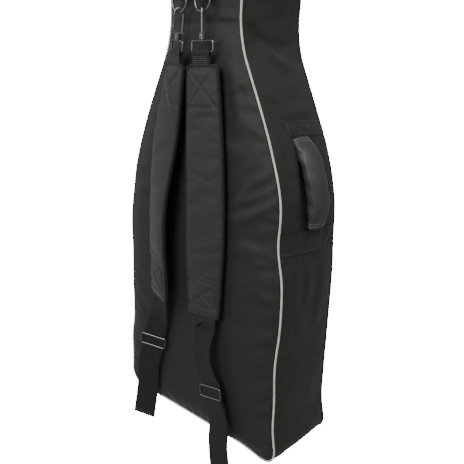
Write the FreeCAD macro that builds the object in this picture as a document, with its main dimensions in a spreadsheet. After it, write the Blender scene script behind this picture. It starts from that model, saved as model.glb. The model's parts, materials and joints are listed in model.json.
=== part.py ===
import FreeCAD, Part
import Sketcher
import math
import os

# Padded instrument gig bag, hanging from its top loop.
# Working frame: X across the bag, Y into its depth (back panel at Y = 0, front at
# Y = bag_depth), Z up with the underside at Z = 0.  Every sub-part's Placement then moves
# it so that the origin is the inside top of the hanging loop.

doc = FreeCAD.newDocument("gig_bag")
sheet = doc.addObject("Spreadsheet::Sheet", "Sizes")

SIZES = [
    # overall outline of the back and front panels
    ("body_width", 320, "width of the lower body"),
    ("bag_depth", 125, "back panel to front edge"),
    ("bag_length", 1010, "underside to top of head"),
    ("corner_radius", 28, "lower corners"),
    ("shoulder_height", 300, "where the straight sides end"),
    ("shoulder_radius", 420, "convex curve above the straight sides"),
    ("shoulder_lean", 25, "lean of the shoulder's straight run, degrees"),
    ("waist_radius", 154, "concave curve into the neck"),
    ("head_half", 80, "half width at the top"),
    ("neck_lean", 1.8, "outward lean of the neck sides, degrees"),
    ("head_radius", 38, "top corners"),
    # padded wall
    ("cover_thick", 1, "outer cloth"),
    ("foam_thick", 6, "foam"),
    ("lining_thick", 1, "lining cloth"),
    ("piping_dia", 3.6, "pale piping of the back edge"),
    ("binding_dia", 3, "dark binding of the front edge"),
    ("cord_inset", 0.5, "piping and binding, middle from the outline"),
    ("cord_gap", 0.6, "cloth edge clear of the piping"),
    ("layer_gap", 0.1, "between neighbouring soft pieces"),
    # zipper around the front panel
    ("tape_start", 3, "tape edge from the outline"),
    ("tape_width", 11, "tape on the wall's side"),
    ("tape_thick", 1, "tape"),
    ("teeth_width", 2, "half of the chain"),
    ("teeth_gap", 0.3, "between the two halves"),
    ("teeth_thick", 3.5, "chain height"),
    ("lid_tape_width", 9, "tape on the lid's side"),
    ("lid_inset", 24, "lid cover edge from the outline"),
    ("hinge_low", 40, "lower end of the lid's cloth hinge"),
    ("hinge_high", 300, "upper end of the lid's cloth hinge"),
    ("hinge_inset", 16, "fold line from the outline"),
    ("hinge_gap", 0.3, "each side of the fold line"),
    ("hinge_end", 0.5, "hinge cloth clear of the zipper's ends"),
    ("teeth_rise", 1, "teeth above the tape's face"),
    ("face_drop", 0.5, "tape's face behind the bag's front"),
    ("foam_clear", 0.7, "lid foam clear of the teeth"),
    ("foam_drop", 1, "lid foam behind its cover"),
    # pocket on the lid
    ("pocket_width", 216, "patch pocket"),
    ("pocket_low", 56, "lower edge"),
    ("pocket_high", 300, "upper edge"),
    ("pocket_thick", 3, "folded flat cloth"),
    ("pocket_corner", 26, "corner radius"),
    ("pocket_zip_drop", 22, "zipper below the pocket's upper edge"),
    ("pocket_zip_half", 92, "half length of the pocket zipper"),
    ("pocket_tape", 7, "pocket zipper's tape edge from its middle"),
    ("pocket_teeth", 2, "half width of the pocket zipper's teeth"),
    ("pocket_slider_back", 14, "closed slider from the zipper's end"),
    ("upper_slider", 206, "upper main slider, height"),
    ("lower_slider", 150, "lower main slider, height"),
    # zipper sliders
    ("slider_width", 9, "plate width"),
    ("slider_length", 12, "plate length"),
    ("slider_plate", 1.4, "plate thickness"),
    ("slider_lift", 0.4, "plate above the teeth"),
    ("bail_post", 1, "bail post, thickness"),
    ("bail_depth", 3, "bail post, along the slider"),
    ("bail_height", 4.2, "bail post, out from the plate"),
    ("bail_base", 1, "bail post above the slider's middle"),
    ("pin_radius", 0.8, "bail pin"),
    ("pin_out", 4.4, "bail pin out from the teeth"),
    ("pin_up", 2.5, "bail pin above the slider's middle"),
    ("eye_radius", 2, "pull tab's eye"),
    ("eye_bore", 0.88, "pull tab's eye, bore radius"),
    ("neck_width", 2.6, "pull tab's neck and eye"),
    ("neck_length", 4, "pull tab's neck"),
    ("tab_out", 2, "pull tab's middle out from the pin"),
    ("tab_drop", 3, "pull tab's top below the pin"),
    ("pull_length", 26, "pull tab"),
    ("pull_width", 7, "pull tab"),
    ("pull_thick", 1.6, "pull tab"),
    # hanging loop
    ("web_thick", 1.6, "webbing"),
    ("loop_web", 25, "webbing width"),
    ("loop_half", 18, "half span of the loop, outside"),
    ("loop_height", 44, "loop above the head"),
    ("loop_thick", 3.2, "doubled webbing"),
    # side handle
    ("grip_turn", 50, "arc that the leatherette grip covers, degrees"),
    ("grip_width", 40, "grip, along the bag's depth"),
    ("grip_thick", 22, "grip, out from the bag"),
    ("grip_lift", 4.5, "grip's flattened ends clear of the wall"),
    ("grip_stand", 21, "grip axis from the chord of its mounts, at the middle"),
    ("handle_low", 336, "lower mount, height"),
    ("handle_high", 474, "upper mount, height"),
    ("handle_depth", 66, "handle's middle from the back panel"),
    ("core_width", 30, "webbing through the grip"),
    ("core_thick", 3.2, "webbing through the grip"),
    ("core_lift", 4, "core's ends clear of the bands"),
    ("lower_band", 30, "reinforcing band under the handle, width"),
    ("lower_band_height", 327, "its middle"),
    ("upper_band", 20, "reinforcing band over the handle, width"),
    ("upper_band_height", 477, "its middle"),
    ("band_thick", 1.4, "reinforcing bands"),
    ("band_reach", 60, "bands' ends from the bag's middle"),
    ("mount_proud", 0.5, "core's ends above the bands"),
    # strap rings
    ("ring_height", 637, "centre of the D-ring's round side"),
    ("ring_stand", 24, "D-rings out from the back panel"),
    ("ring_radius", 13.6, "D-ring, to the wire's middle"),
    ("ring_leg", 6, "round side's centre up to the straight bar"),
    ("ring_bend", 3, "corner between leg and straight bar"),
    ("ring_wire", 1.6, "D-ring wire radius"),
    ("tab_width", 19, "webbing tab"),
    ("tab_thick", 1.5, "webbing tab"),
    ("tab_top", 60, "sewn end above the ring centre"),
    ("tab_sewn", 22, "length of the tab that is sewn down"),
    ("tab_step", 4, "lower layer leaves the panel this much lower"),
    ("tab_clear", 0.1, "tab to ring, and tab to panel"),
    # swivel snap hook
    ("crook_radius", 6, "hook's arch, to the wire's middle"),
    ("hook_wire", 1.8, "hook wire radius"),
    ("hook_spine", 27, "arch centre down to the barrel"),
    ("hook_tip", 5, "arch centre down to the nose"),
    ("hook_base", 3, "hook's foot, height"),
    ("hook_foot", 1.5, "hook's foot past the wires' middles"),
    ("gate_lower", 3.6, "gate's lower end above the foot"),
    ("gate_upper", 0.5, "gate's upper end below the nose"),
    ("gate_knob", 1.7, "thumb knob radius"),
    ("knob_out", 0.8, "thumb knob out from the gate"),
    ("barrel_overlap", 0.5, "barrel into the foot"),
    ("barrel_floor", 1.2, "loop's top below the barrel"),
    ("barrel_radius", 4.2, "barrel"),
    ("barrel_length", 8, "barrel"),
    ("stud_radius", 1.7, "swivel stud"),
    ("stud_clear", 0.05, "swivel running clearance"),
    ("gate_radius", 1.1, "gate lever"),
    ("loop_wire", 1.5, "swivel loop wire radius"),
    ("loop_span", 34, "swivel loop width, to the wire's middle"),
    ("loop_drop", 14, "swivel loop height, to the wire's middle"),
    ("loop_bend", 2.8, "swivel loop corner radius"),
    ("web_clear", 0.1, "webbing to the bar it wraps"),
    # shoulder straps
    ("upper_web", 28, "webbing at the hook"),
    ("pad_start", 18, "pad's top edge below the loop bar"),
    ("pad_length", 356, "pad"),
    ("pad_thick", 12, "pad"),
    ("pad_top_width", 48, "pad, upper edge"),
    ("pad_upper_width", 59, "pad, at 0.3 of its length"),
    ("pad_wide", 63, "pad, at its widest"),
    ("pad_end_width", 54, "pad, lower edge"),
    ("lower_web", 38, "webbing of the adjustable end"),
    ("fabric_gap", 7, "loose cloth between pad and lower webbing"),
    ("return_gap", 1.2, "between the two layers of the end loop"),
    ("return_rise", 4, "returned layer above the tri-glide"),
    ("glide_half", 20.9, "tri-glide, half width to the wire's middle"),
    ("glide_height", 18, "tri-glide, between its outer bars"),
    ("glide_wire", 1.4, "tri-glide wire radius"),
    ("glide_bend", 3, "tri-glide corner radius"),
    ("glide_clear", 0.3, "tri-glide to webbing"),
    # inside
    ("cradle_low", 640, "neck cradle, lower face"),
    ("cradle_length", 70, "neck cradle"),
    ("cradle_depth", 44, "neck cradle"),
    ("cradle_groove", 27, "neck cradle groove radius"),
    ("cradle_half", 54, "neck cradle, half width"),
    ("inner_gap", 0.2, "inside pieces clear of the lining"),
    ("tie_width", 25, "neck tie"),
    ("tie_thick", 2, "neck tie"),
    ("tie_rise", 20, "neck tie, room above the cradle"),
    ("tie_shoulder", 6, "neck tie leaves the cradle this far outside the groove"),
    ("tie_slope", 4, "neck tie's sideways run as it rises"),
    ("bumper_thick", 14, "foam bumper at the lower end"),
    ("bumper_half", 110, "foam bumper, half width"),
    ("bumper_back", 8, "foam bumper from the back lining"),
    ("bumper_front", 22, "foam bumper from the bag's front"),
]

for row, (alias, value, note) in enumerate(SIZES, start=1):
    sheet.set("A%d" % row, note)
    sheet.set("B%d" % row, str(value))
    sheet.setAlias("B%d" % row, alias)
doc.recompute()


class Values:
    """Reads a sheet cell as a plain number."""

    def __getattr__(self, alias):
        return float(sheet.get(alias))


S = Values()
V = FreeCAD.Vector
WALL = S.cover_thick + S.foam_thick + S.lining_thick
HANG = V(0, S.bag_depth / 2, S.bag_length + S.loop_height - S.loop_thick)
ORIGIN_SHIFT = FreeCAD.Placement(V(0, 0, 0) - HANG, FreeCAD.Rotation())
parts = []


def cell(text):
    """Turns {alias} marks into references to the sheet."""
    return text.replace("{", "Sizes.").replace("}", "")


def frame(x, y, z, yaw=0.0, slant=0.0):
    """Placement at a point of the working frame, turned about Z, then leaning in X."""
    turn = FreeCAD.Rotation(V(0, 1, 0), slant) * FreeCAD.Rotation(V(0, 0, 1), yaw)
    return ORIGIN_SHIFT * FreeCAD.Placement(V(x, y, z), turn)


def keep(obj, label, where=None):
    """Names a finished sub-part and puts it in its place."""
    obj.Label = label
    obj.Placement = ORIGIN_SHIFT if where is None else where
    parts.append(obj)
    return obj


def feature(label, shape, where=None):
    obj = doc.addObject("Part::Feature", label)
    obj.Shape = shape
    return keep(obj, label, where)


def primitive(kind, name, sizes, base=(0, 0, 0), axis=None, turn=0.0):
    """A Part primitive with its sizes bound to the sheet, placed in its group's frame."""
    obj = doc.addObject("Part::" + kind, name)
    for prop, text in sizes.items():
        obj.setExpression(prop, cell(text))
    rotation = FreeCAD.Rotation() if axis is None else FreeCAD.Rotation(V(*axis), turn)
    obj.Placement = FreeCAD.Placement(V(*base), rotation)
    return obj


def fuse(name, shapes):
    obj = doc.addObject("Part::MultiFuse", name)
    obj.Shapes = shapes
    return obj


def cut(name, base, tool):
    obj = doc.addObject("Part::Cut", name)
    obj.Base = base
    obj.Tool = tool
    return obj


def polygon_body(label, plane, corners, length, where=None):
    """Pads a closed polygon, symmetric about its plane; corners are pairs of sheet formulas."""
    body = doc.addObject("PartDesign::Body", label)
    sketch = body.newObject("Sketcher::SketchObject", label + "_outline")
    roles = {item.Role: item for item in body.Origin.OriginFeatures}
    sketch.AttachmentSupport = (roles[plane], [""])
    sketch.MapMode = "FlatFace"
    doc.recompute()
    probe = [(evaluate(u), evaluate(v)) for u, v in corners]
    count = len(corners)
    for i in range(count):
        start = probe[i]
        end = probe[(i + 1) % count]
        sketch.addGeometry(Part.LineSegment(V(start[0], start[1], 0), V(end[0], end[1], 0)), False)
    for i in range(count):
        sketch.addConstraint(Sketcher.Constraint("Coincident", i, 2, (i + 1) % count, 1))
    for i, (u, v) in enumerate(corners):
        for kind, text, value in (("DistanceX", u, probe[i][0]), ("DistanceY", v, probe[i][1])):
            index = sketch.addConstraint(Sketcher.Constraint(kind, -1, 1, i, 1, value))
            sketch.setExpression("Constraints[%d]" % index, cell(text))
    pad = body.newObject("PartDesign::Pad", label + "_pad")
    pad.Profile = sketch
    pad.setExpression("Length", cell(length))
    pad.Midplane = True
    keep(body, label, where)
    return body


def evaluate(text):
    """The present value of a sheet formula, for a sketch's starting geometry."""
    return float(sheet.evalExpression(cell(text).replace("Sizes.", "")))


# ---------------------------------------------------------------- panel outline

def outline(inset, y):
    """Closed outline of the bag, moved inward by inset, in the plane at depth y."""
    half = S.body_width / 2
    lean = math.radians(S.shoulder_lean)
    drift = math.radians(S.neck_lean)
    out_shoulder = (math.cos(lean), math.sin(lean))
    out_neck = (math.cos(drift), -math.sin(drift))
    shoulder = (half - S.shoulder_radius, S.shoulder_height)
    # the waist arc touches the shoulder's straight run and the neck's side
    a1, b1 = out_shoulder
    a2, b2 = out_neck
    reach1 = a1 * shoulder[0] + b1 * shoulder[1] + S.shoulder_radius + S.waist_radius
    reach2 = a2 * S.head_half + b2 * S.bag_length + S.waist_radius
    det = a1 * b2 - a2 * b1
    waist = ((reach1 * b2 - reach2 * b1) / det, (a1 * reach2 - a2 * reach1) / det)
    # the top corner touches the neck's side and the top
    top_z = S.bag_length - S.head_radius
    reach3 = a2 * S.head_half + b2 * S.bag_length - S.head_radius
    head = ((reach3 - b2 * top_z) / a2, top_z)
    corner = (half - S.corner_radius, S.corner_radius)

    def on(centre, radius, direction):
        return (centre[0] + radius * direction[0], centre[1] + radius * direction[1])

    def middle(d1, d2):
        length = math.hypot(d1[0] + d2[0], d1[1] + d2[1])
        return ((d1[0] + d2[0]) / length, (d1[1] + d2[1]) / length)

    right, down, up = (1, 0), (0, -1), (0, 1)
    arcs = [
        (corner, S.corner_radius - inset, down, right),
        (shoulder, S.shoulder_radius - inset, right, out_shoulder),
        (waist, -(S.waist_radius + inset), out_shoulder, out_neck),
        (head, S.head_radius - inset, out_neck, up),
    ]
    side = []
    for centre, radius, d1, d2 in arcs:
        side.append([on(centre, radius, d) for d in (d1, middle(d1, d2), d2)])
    other = [[(-x, z) for x, z in reversed(arc)] for arc in reversed(side)]
    edges = []
    all_arcs = side + other
    for i, arc in enumerate(all_arcs):
        points = [V(x, y, z) for x, z in arc]
        following = all_arcs[(i + 1) % len(all_arcs)][0]
        edges.append(Part.Arc(*points).toShape())
        edges.append(Part.LineSegment(points[2], V(following[0], y, following[1])).toShape())
    return Part.Wire(edges)


def slab(inset, y0, y1):
    return Part.Face(outline(inset, y0)).extrude(V(0, y1 - y0, 0))


def ring(inset0, inset1, y0, y1):
    return slab(inset0, y0, y1).cut(slab(inset1, y0, y1))


def box(x0, x1, y0, y1, z0, z1):
    return Part.makeBox(x1 - x0, y1 - y0, z1 - z0, V(x0, y0, z0))


def round_bar(path, radius):
    """Round wire of one radius along a wire of lines and arcs."""
    start = path.Edges[0].valueAt(path.Edges[0].FirstParameter)
    along = path.Edges[0].tangentAt(path.Edges[0].FirstParameter)
    circle = Part.Wire([Part.makeCircle(radius, start, along)])
    return path.makePipeShell([circle], True, True)


def rounded_loop(corners):
    """Closed path from triples of points, each an arc round one corner, joined by straight runs."""
    middle = (corners[-1] + corners[0]) * 0.5
    edges = [Part.LineSegment(middle, corners[0]).toShape()]
    for i in range(0, len(corners), 3):
        edges.append(Part.Arc(corners[i], corners[i + 1], corners[i + 2]).toShape())
        following = corners[i + 3] if i + 3 < len(corners) else middle
        edges.append(Part.LineSegment(corners[i + 2], following).toShape())
    return Part.Wire(edges)


# ---------------------------------------------------------------- padded shell

def make_shell():
    depth = S.bag_depth
    edge = S.piping_dia / 2 + S.cord_gap
    reach = S.body_width
    foam_in = S.cover_thick + S.foam_thick
    feature("back_panel_cover", slab(edge, 0, S.cover_thick))
    feature("back_panel_foam", slab(edge, S.cover_thick, foam_in))
    feature("back_panel_lining", slab(WALL + S.layer_gap, foam_in, WALL))
    front = depth - S.binding_dia / 2 - S.layer_gap
    feature("gusset_cover", ring(0, S.cover_thick, edge, front))
    feature("gusset_lining", ring(foam_in, WALL, WALL + S.layer_gap, depth - S.binding_dia))
    foam = ring(S.cover_thick, foam_in, foam_in, depth - S.binding_dia)
    low = S.corner_radius
    top = S.bag_length - S.head_radius
    cuts = [
        ("gusset_foam_bottom", (-reach, reach, 0, low)),
        ("gusset_foam_right", (0, reach, low, top)),
        ("gusset_foam_left", (-reach, 0, low, top)),
        ("gusset_foam_head", (-reach, reach, top, S.bag_length)),
    ]
    for label, (x0, x1, z0, z1) in cuts:
        feature(label, foam.common(box(x0, x1, 0, depth, z0, z1)))
    feature("back_piping", round_bar(outline(S.cord_inset, 0), S.piping_dia / 2))
    feature("front_binding", round_bar(outline(S.cord_inset, depth), S.binding_dia / 2))


# ---------------------------------------------------------------- lid and main zipper

def hinge_window(y0, y1):
    """The stretch of the right side where the lid is sewn on and there is no zipper."""
    half = S.body_width / 2
    return box(half - 2 * S.lid_inset, 2 * half, y0, y1, S.hinge_low, S.hinge_high)


def make_lid():
    depth = S.bag_depth
    face = depth - S.face_drop
    window = hinge_window(0, 2 * depth)
    wall_end = S.tape_start + S.tape_width
    mid = wall_end + S.teeth_width
    lid_teeth_end = mid + S.teeth_gap + S.teeth_width
    lid_tape_end = lid_teeth_end + S.lid_tape_width
    tape_low = face - S.tape_thick
    teeth_high = face + S.teeth_rise
    teeth_low = teeth_high - S.face_drop - S.teeth_thick
    feature("zipper_tape_wall", ring(S.tape_start, wall_end, tape_low, face).cut(window))
    feature("zipper_teeth_wall", ring(wall_end, mid, teeth_low, teeth_high).cut(window))
    feature("zipper_teeth_lid", ring(mid + S.teeth_gap, lid_teeth_end, teeth_low, teeth_high).cut(window))
    feature("zipper_tape_lid", ring(lid_teeth_end, lid_tape_end, tape_low, face).cut(window))
    half = S.body_width / 2
    fold = half - S.hinge_inset
    low = S.hinge_low + S.hinge_end
    high = S.hinge_high - S.hinge_end
    strip = box(fold + S.hinge_gap, half - S.tape_start, tape_low, face, low, high)
    feature("lid_hinge_strip", strip)
    flap = box(half - lid_tape_end, fold - S.hinge_gap, tape_low, face, low, high)
    feature("lid_hinge_flap", flap)
    feature("lid_cover", slab(S.lid_inset, face, face + S.cover_thick))
    under = tape_low - S.layer_gap
    back = face - S.foam_drop - S.foam_thick
    foam_edge = lid_teeth_end + S.foam_clear
    crown = slab(lid_tape_end + S.layer_gap, under, face)
    feature("lid_foam", slab(foam_edge, back, under).fuse(crown).removeSplitter())
    feature("lid_lining", slab(foam_edge, back - S.lining_thick, back))


def make_pocket():
    front = S.bag_depth - S.face_drop + S.cover_thick
    half = S.pocket_width / 2
    height = S.pocket_high - S.pocket_low
    plate = Part.makeBox(2 * half, S.pocket_thick, height, V(-half, front, S.pocket_low))
    upright = [e for e in plate.Edges if abs(e.tangentAt(e.FirstParameter).y) > 0.9]
    plate = plate.makeFillet(S.pocket_corner, upright)
    zip_z = S.pocket_high - S.pocket_zip_drop
    outer = S.pocket_tape
    inner = S.pocket_teeth

    def zip_bar(y0, y1, z0, z1):
        return box(-S.pocket_zip_half, S.pocket_zip_half, front + y0, front + y1, zip_z + z0, zip_z + z1)

    feature("pocket_panel", plate.cut(zip_bar(0, 2 * S.pocket_thick, -outer, outer)))
    tape_face = 2 * S.tape_thick
    tapes = [zip_bar(S.tape_thick, tape_face, -outer, -inner), zip_bar(S.tape_thick, tape_face, inner, outer)]
    feature("pocket_zipper_tapes", Part.makeCompound(tapes))
    teeth_back = S.tape_thick / 2
    feature("pocket_zipper_teeth", zip_bar(teeth_back, teeth_back + S.pocket_thick, -inner, inner))


def make_slider(label, x, front, z, turn):
    """A zipper slider plate with its bail, and the pull tab that hangs from it."""
    where = ORIGIN_SHIFT * FreeCAD.Placement(V(x, front, z), FreeCAD.Rotation(V(0, 1, 0), turn))
    plate = primitive("Box", label + "_plate", {
        "Length": "{slider_width}", "Width": "{slider_plate}", "Height": "{slider_length}"},
        (-S.slider_width / 2, S.slider_lift, -S.slider_length / 2))
    posts = []
    post_x = S.pull_width / 2 - S.bail_post
    post_y = S.slider_lift + S.slider_plate - 0.1
    for side in (-1, 1):
        posts.append(primitive("Box", label + "_post", {
            "Length": "{bail_post}", "Width": "{bail_height}", "Height": "{bail_depth}"},
            (side * post_x - S.bail_post / 2, post_y, S.bail_base)))
    pin = primitive("Cylinder", label + "_pin", {
        "Radius": "{pin_radius}", "Height": "{pull_width} - 2 * {bail_post}"},
        (-post_x, S.pin_out, S.pin_up), (0, 1, 0), 90)
    keep(fuse(label + "_body", [plate, pin] + posts), label, where)
    tab_y = S.pin_out + S.tab_out - S.pull_thick / 2
    neck_x = -S.neck_width / 2
    tab = primitive("Box", label + "_tab", {
        "Length": "{pull_width}", "Width": "{pull_thick}", "Height": "{pull_length}"},
        (-S.pull_width / 2, tab_y, S.pin_up - S.tab_drop - S.pull_length))
    neck = primitive("Box", label + "_neck", {
        "Length": "{neck_width}", "Width": "{pull_thick}", "Height": "{neck_length}"},
        (neck_x, tab_y + 0.1, S.pin_up - S.neck_length))
    eye = primitive("Cylinder", label + "_eye", {"Radius": "{eye_radius}", "Height": "{neck_width}"},
                    (neck_x, S.pin_out, S.pin_up), (0, 1, 0), 90)
    hole = primitive("Cylinder", label + "_hole", {"Radius": "{eye_bore}", "Height": "{pull_width} + 1"},
                     (-S.pull_width / 2 - 0.5, S.pin_out, S.pin_up), (0, 1, 0), 90)
    pull = fuse(label + "_pull_solid", [tab, neck, eye])
    keep(cut(label + "_pull_body", pull, hole), label + "_pull", where)


# ---------------------------------------------------------------- hanging loop

def make_hang_loop():
    half = S.loop_half
    inner = half - S.loop_thick
    base = S.bag_length
    rise = base + S.loop_height - half
    front = S.bag_depth / 2 - S.loop_web / 2

    def arch(radius):
        points = [V(radius, front, base), V(radius, front, rise), V(0, front, rise + radius),
                  V(-radius, front, rise), V(-radius, front, base)]
        edges = [Part.LineSegment(points[0], points[1]).toShape(),
                 Part.Arc(points[1], points[2], points[3]).toShape(),
                 Part.LineSegment(points[3], points[4]).toShape(),
                 Part.LineSegment(points[4], points[0]).toShape()]
        return Part.Face(Part.Wire(edges)).extrude(V(0, S.loop_web, 0))

    feature("hang_loop", arch(half).cut(arch(inner)))


# ---------------------------------------------------------------- side handle

def side_x(z):
    """Half width of the bag at a height on the straight side or the shoulder curve."""
    if z <= S.shoulder_height:
        return S.body_width / 2
    lean = math.radians(S.shoulder_lean)
    curve_top = S.shoulder_height + S.shoulder_radius * math.sin(lean)
    if z <= curve_top:
        rise = math.asin((z - S.shoulder_height) / S.shoulder_radius)
        return S.body_width / 2 - S.shoulder_radius * (1 - math.cos(rise))
    at_top = S.body_width / 2 - S.shoulder_radius * (1 - math.cos(lean))
    return at_top - (z - curve_top) * math.tan(lean)


def make_handle():
    """Two bands around the wall, a webbing core between them, and the padded grip."""
    outer = ring(-S.band_thick, 0, S.piping_dia, S.bag_depth - S.binding_dia)
    bands = [("handle_lower_band", S.lower_band_height, S.lower_band),
             ("handle_upper_band", S.upper_band_height, S.upper_band)]
    for label, z, width in bands:
        side = box(S.band_reach, S.body_width, 0, S.bag_depth, z - width / 2, z + width / 2)
        feature(label, outer.common(side))
    proud = S.band_thick + S.mount_proud
    low = V(side_x(S.handle_low) + proud, S.handle_depth, S.handle_low)
    high = V(side_x(S.handle_high) + proud, S.handle_depth, S.handle_high)
    chord = (high - low).Length
    slant = math.degrees(math.atan2(high.x - low.x, high.z - low.z))
    where = frame(low.x, low.y, low.z, 0, slant)
    # in the handle's frame Z runs along the chord from the lower mount and X points outward
    radius = ((chord / 2) ** 2 + S.grip_stand ** 2) / (2 * S.grip_stand)
    centre = V(S.grip_stand - radius, 0, chord / 2)
    reach = math.degrees(math.asin(chord / 2 / radius))

    def sector(thick, width, turn):
        inner_corner = V(centre.x + radius - thick / 2, -width / 2, centre.z)
        face = Part.makePlane(thick, width, inner_corner, V(0, 0, 1))
        face.rotate(centre, V(0, 1, 0), turn / 2)
        return face.revolve(centre, V(0, -1, 0), turn)

    def outside(shape, lift):
        """The part of a shape that is at least this far out from the mounts' chord."""
        return shape.common(box(lift, S.body_width, -S.grip_width, S.grip_width, -chord, 2 * chord))

    core = outside(sector(S.core_thick, S.core_width, 2 * reach), S.core_lift)
    middle = centre + V(radius, 0, 0)
    oval = Part.Ellipse(middle + V(0, S.grip_width / 2, 0), middle + V(S.grip_thick / 2, 0, 0), middle)
    face = Part.Face(Part.Wire([oval.toShape()]))
    face.rotate(centre, V(0, 1, 0), S.grip_turn / 2)
    grip = outside(face.revolve(centre, V(0, -1, 0), S.grip_turn), S.grip_lift)
    feature("handle_core", core, where)
    feature("handle_grip", grip.cut(core), where)
    return {"low": ORIGIN_SHIFT.multVec(low), "high": ORIGIN_SHIFT.multVec(high)}


# ---------------------------------------------------------------- shoulder straps

# The two straps hang a little differently.  Turns are about the vertical, leans are sideways,
# all in degrees; the drops are from the pad's lower edge, in millimetres.
STRAPS = {
    "right": {"ring_x": 22, "hook_turn": -48, "hook_lean": -2.2, "turn": 10, "lean": -2.2,
              "end_turn": 1, "end_lean": -10, "glide_drop": 121, "loop_length": 141},
    "left": {"ring_x": -22, "hook_turn": 42, "hook_lean": 5.2, "turn": -16, "lean": 5.2,
             "end_turn": 26, "end_lean": 9.8, "glide_drop": 84, "loop_length": 154},
}


def make_ring(side, x):
    """Webbing tab sewn to the back panel, and the D-ring whose straight bar it holds."""
    top = S.ring_height + S.ring_leg
    hole = S.ring_wire + S.tab_clear
    out = hole + S.tab_thick
    centre_y = -S.ring_stand
    sewn = S.ring_height + S.tab_top
    face = sewn - S.tab_sewn
    edge = x - S.tab_width / 2
    skin = -S.tab_clear
    profile = [(skin, sewn), (skin - 2 * S.tab_thick, sewn), (skin - 2 * S.tab_thick, face),
               (centre_y - out, top + 1), (centre_y + out, top + 1), (skin, face - S.tab_step)]
    corners = [V(edge, y, z) for y, z in profile]
    tab = Part.Face(Part.makePolygon(corners + [corners[0]])).extrude(V(S.tab_width, 0, 0))
    eye = Part.makeCylinder(out, S.tab_width, V(edge, centre_y, top), V(1, 0, 0))
    bore = Part.makeCylinder(hole, S.tab_width, V(edge, centre_y, top), V(1, 0, 0))
    feature("ring_tab_" + side, tab.fuse(eye).cut(bore).removeSplitter())
    radius = S.ring_radius
    bend = S.ring_bend
    leg = S.ring_leg
    dip = bend * (1 - math.sqrt(0.5))
    path = Part.Wire([
        Part.Arc(V(-radius, 0, 0), V(0, 0, -radius), V(radius, 0, 0)).toShape(),
        Part.LineSegment(V(radius, 0, 0), V(radius, 0, leg - bend)).toShape(),
        Part.Arc(V(radius, 0, leg - bend), V(radius - dip, 0, leg - dip), V(radius - bend, 0, leg)).toShape(),
        Part.LineSegment(V(radius - bend, 0, leg), V(bend - radius, 0, leg)).toShape(),
        Part.Arc(V(bend - radius, 0, leg), V(dip - radius, 0, leg - dip), V(-radius, 0, leg - bend)).toShape(),
        Part.LineSegment(V(-radius, 0, leg - bend), V(-radius, 0, 0)).toShape(),
    ])
    feature("strap_ring_" + side, round_bar(path, S.ring_wire), frame(x, centre_y, S.ring_height))


def make_hook(side, where):
    """Snap hook: arch over the ring, spine, nose and barrel; and the sprung gate."""
    prefix = "hook_" + side
    reach = S.crook_radius
    arch = primitive("Torus", prefix + "_arch", {
        "Radius1": "{crook_radius}", "Radius2": "{hook_wire}", "Angle3": "180"},
        (0, 0, 0), (1, 0, 0), 90)
    spine = primitive("Cylinder", prefix + "_spine", {
        "Radius": "{hook_wire}", "Height": "{hook_spine}"}, (reach, 0, -S.hook_spine))
    nose = primitive("Cylinder", prefix + "_nose", {
        "Radius": "{hook_wire}", "Height": "{hook_tip}"}, (-reach, 0, -S.hook_tip))
    base = primitive("Box", prefix + "_base", {
        "Length": "({crook_radius} + {hook_foot}) * 2", "Width": "{hook_wire} * 2",
        "Height": "{hook_base}"}, (-reach - S.hook_foot, -S.hook_wire, -S.hook_spine))
    barrel = primitive("Cylinder", prefix + "_barrel", {
        "Radius": "{barrel_radius}", "Height": "{barrel_length}"},
        (0, 0, -S.hook_spine - S.barrel_length + S.barrel_overlap))
    solid = fuse(prefix + "_solid", [arch, spine, nose, base, barrel])
    bore = primitive("Cylinder", prefix + "_bore", {
        "Radius": "{stud_radius} + {stud_clear}", "Height": "{barrel_length} - 1"},
        (0, 0, -S.hook_spine - S.barrel_length))
    keep(cut(prefix + "_body", solid, bore), "snap_hook_" + side, where)
    gate_low = -S.hook_spine + S.gate_lower
    gate_high = -S.hook_tip - S.gate_upper
    height = gate_high - gate_low
    lever = primitive("Cylinder", prefix + "_lever", {"Radius": "{gate_radius}"},
                      (-reach, 0, gate_low))
    lever.Height = height
    knob = primitive("Sphere", prefix + "_knob", {"Radius": "{gate_knob}"},
                     (-reach - S.knob_out, 0, gate_low + height / 3))
    keep(fuse(prefix + "_gate", [lever, knob]), "hook_gate_" + side, where)
    return V(-reach, 0, gate_low)


def make_swivel_loop(side, where):
    """Rounded wire loop with a stud that turns in the hook's barrel."""
    half = S.loop_span / 2
    drop = S.loop_drop
    bend = S.loop_bend
    dip = bend * (1 - math.sqrt(0.5))
    points = [
        (half - bend, 0), (half - dip, -dip), (half, -bend),
        (half, -drop + bend), (half - dip, -drop + dip), (half - bend, -drop),
        (-half + bend, -drop), (-half + dip, -drop + dip), (-half, -drop + bend),
        (-half, -bend), (-half + dip, -dip), (-half + bend, 0),
    ]
    loop = round_bar(rounded_loop([V(x, 0, z) for x, z in points]), S.loop_wire)
    stud = Part.makeCylinder(S.stud_radius, S.barrel_length, V(0, 0, 0))
    feature("swivel_loop_" + side, loop.fuse(stud), where)


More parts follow.
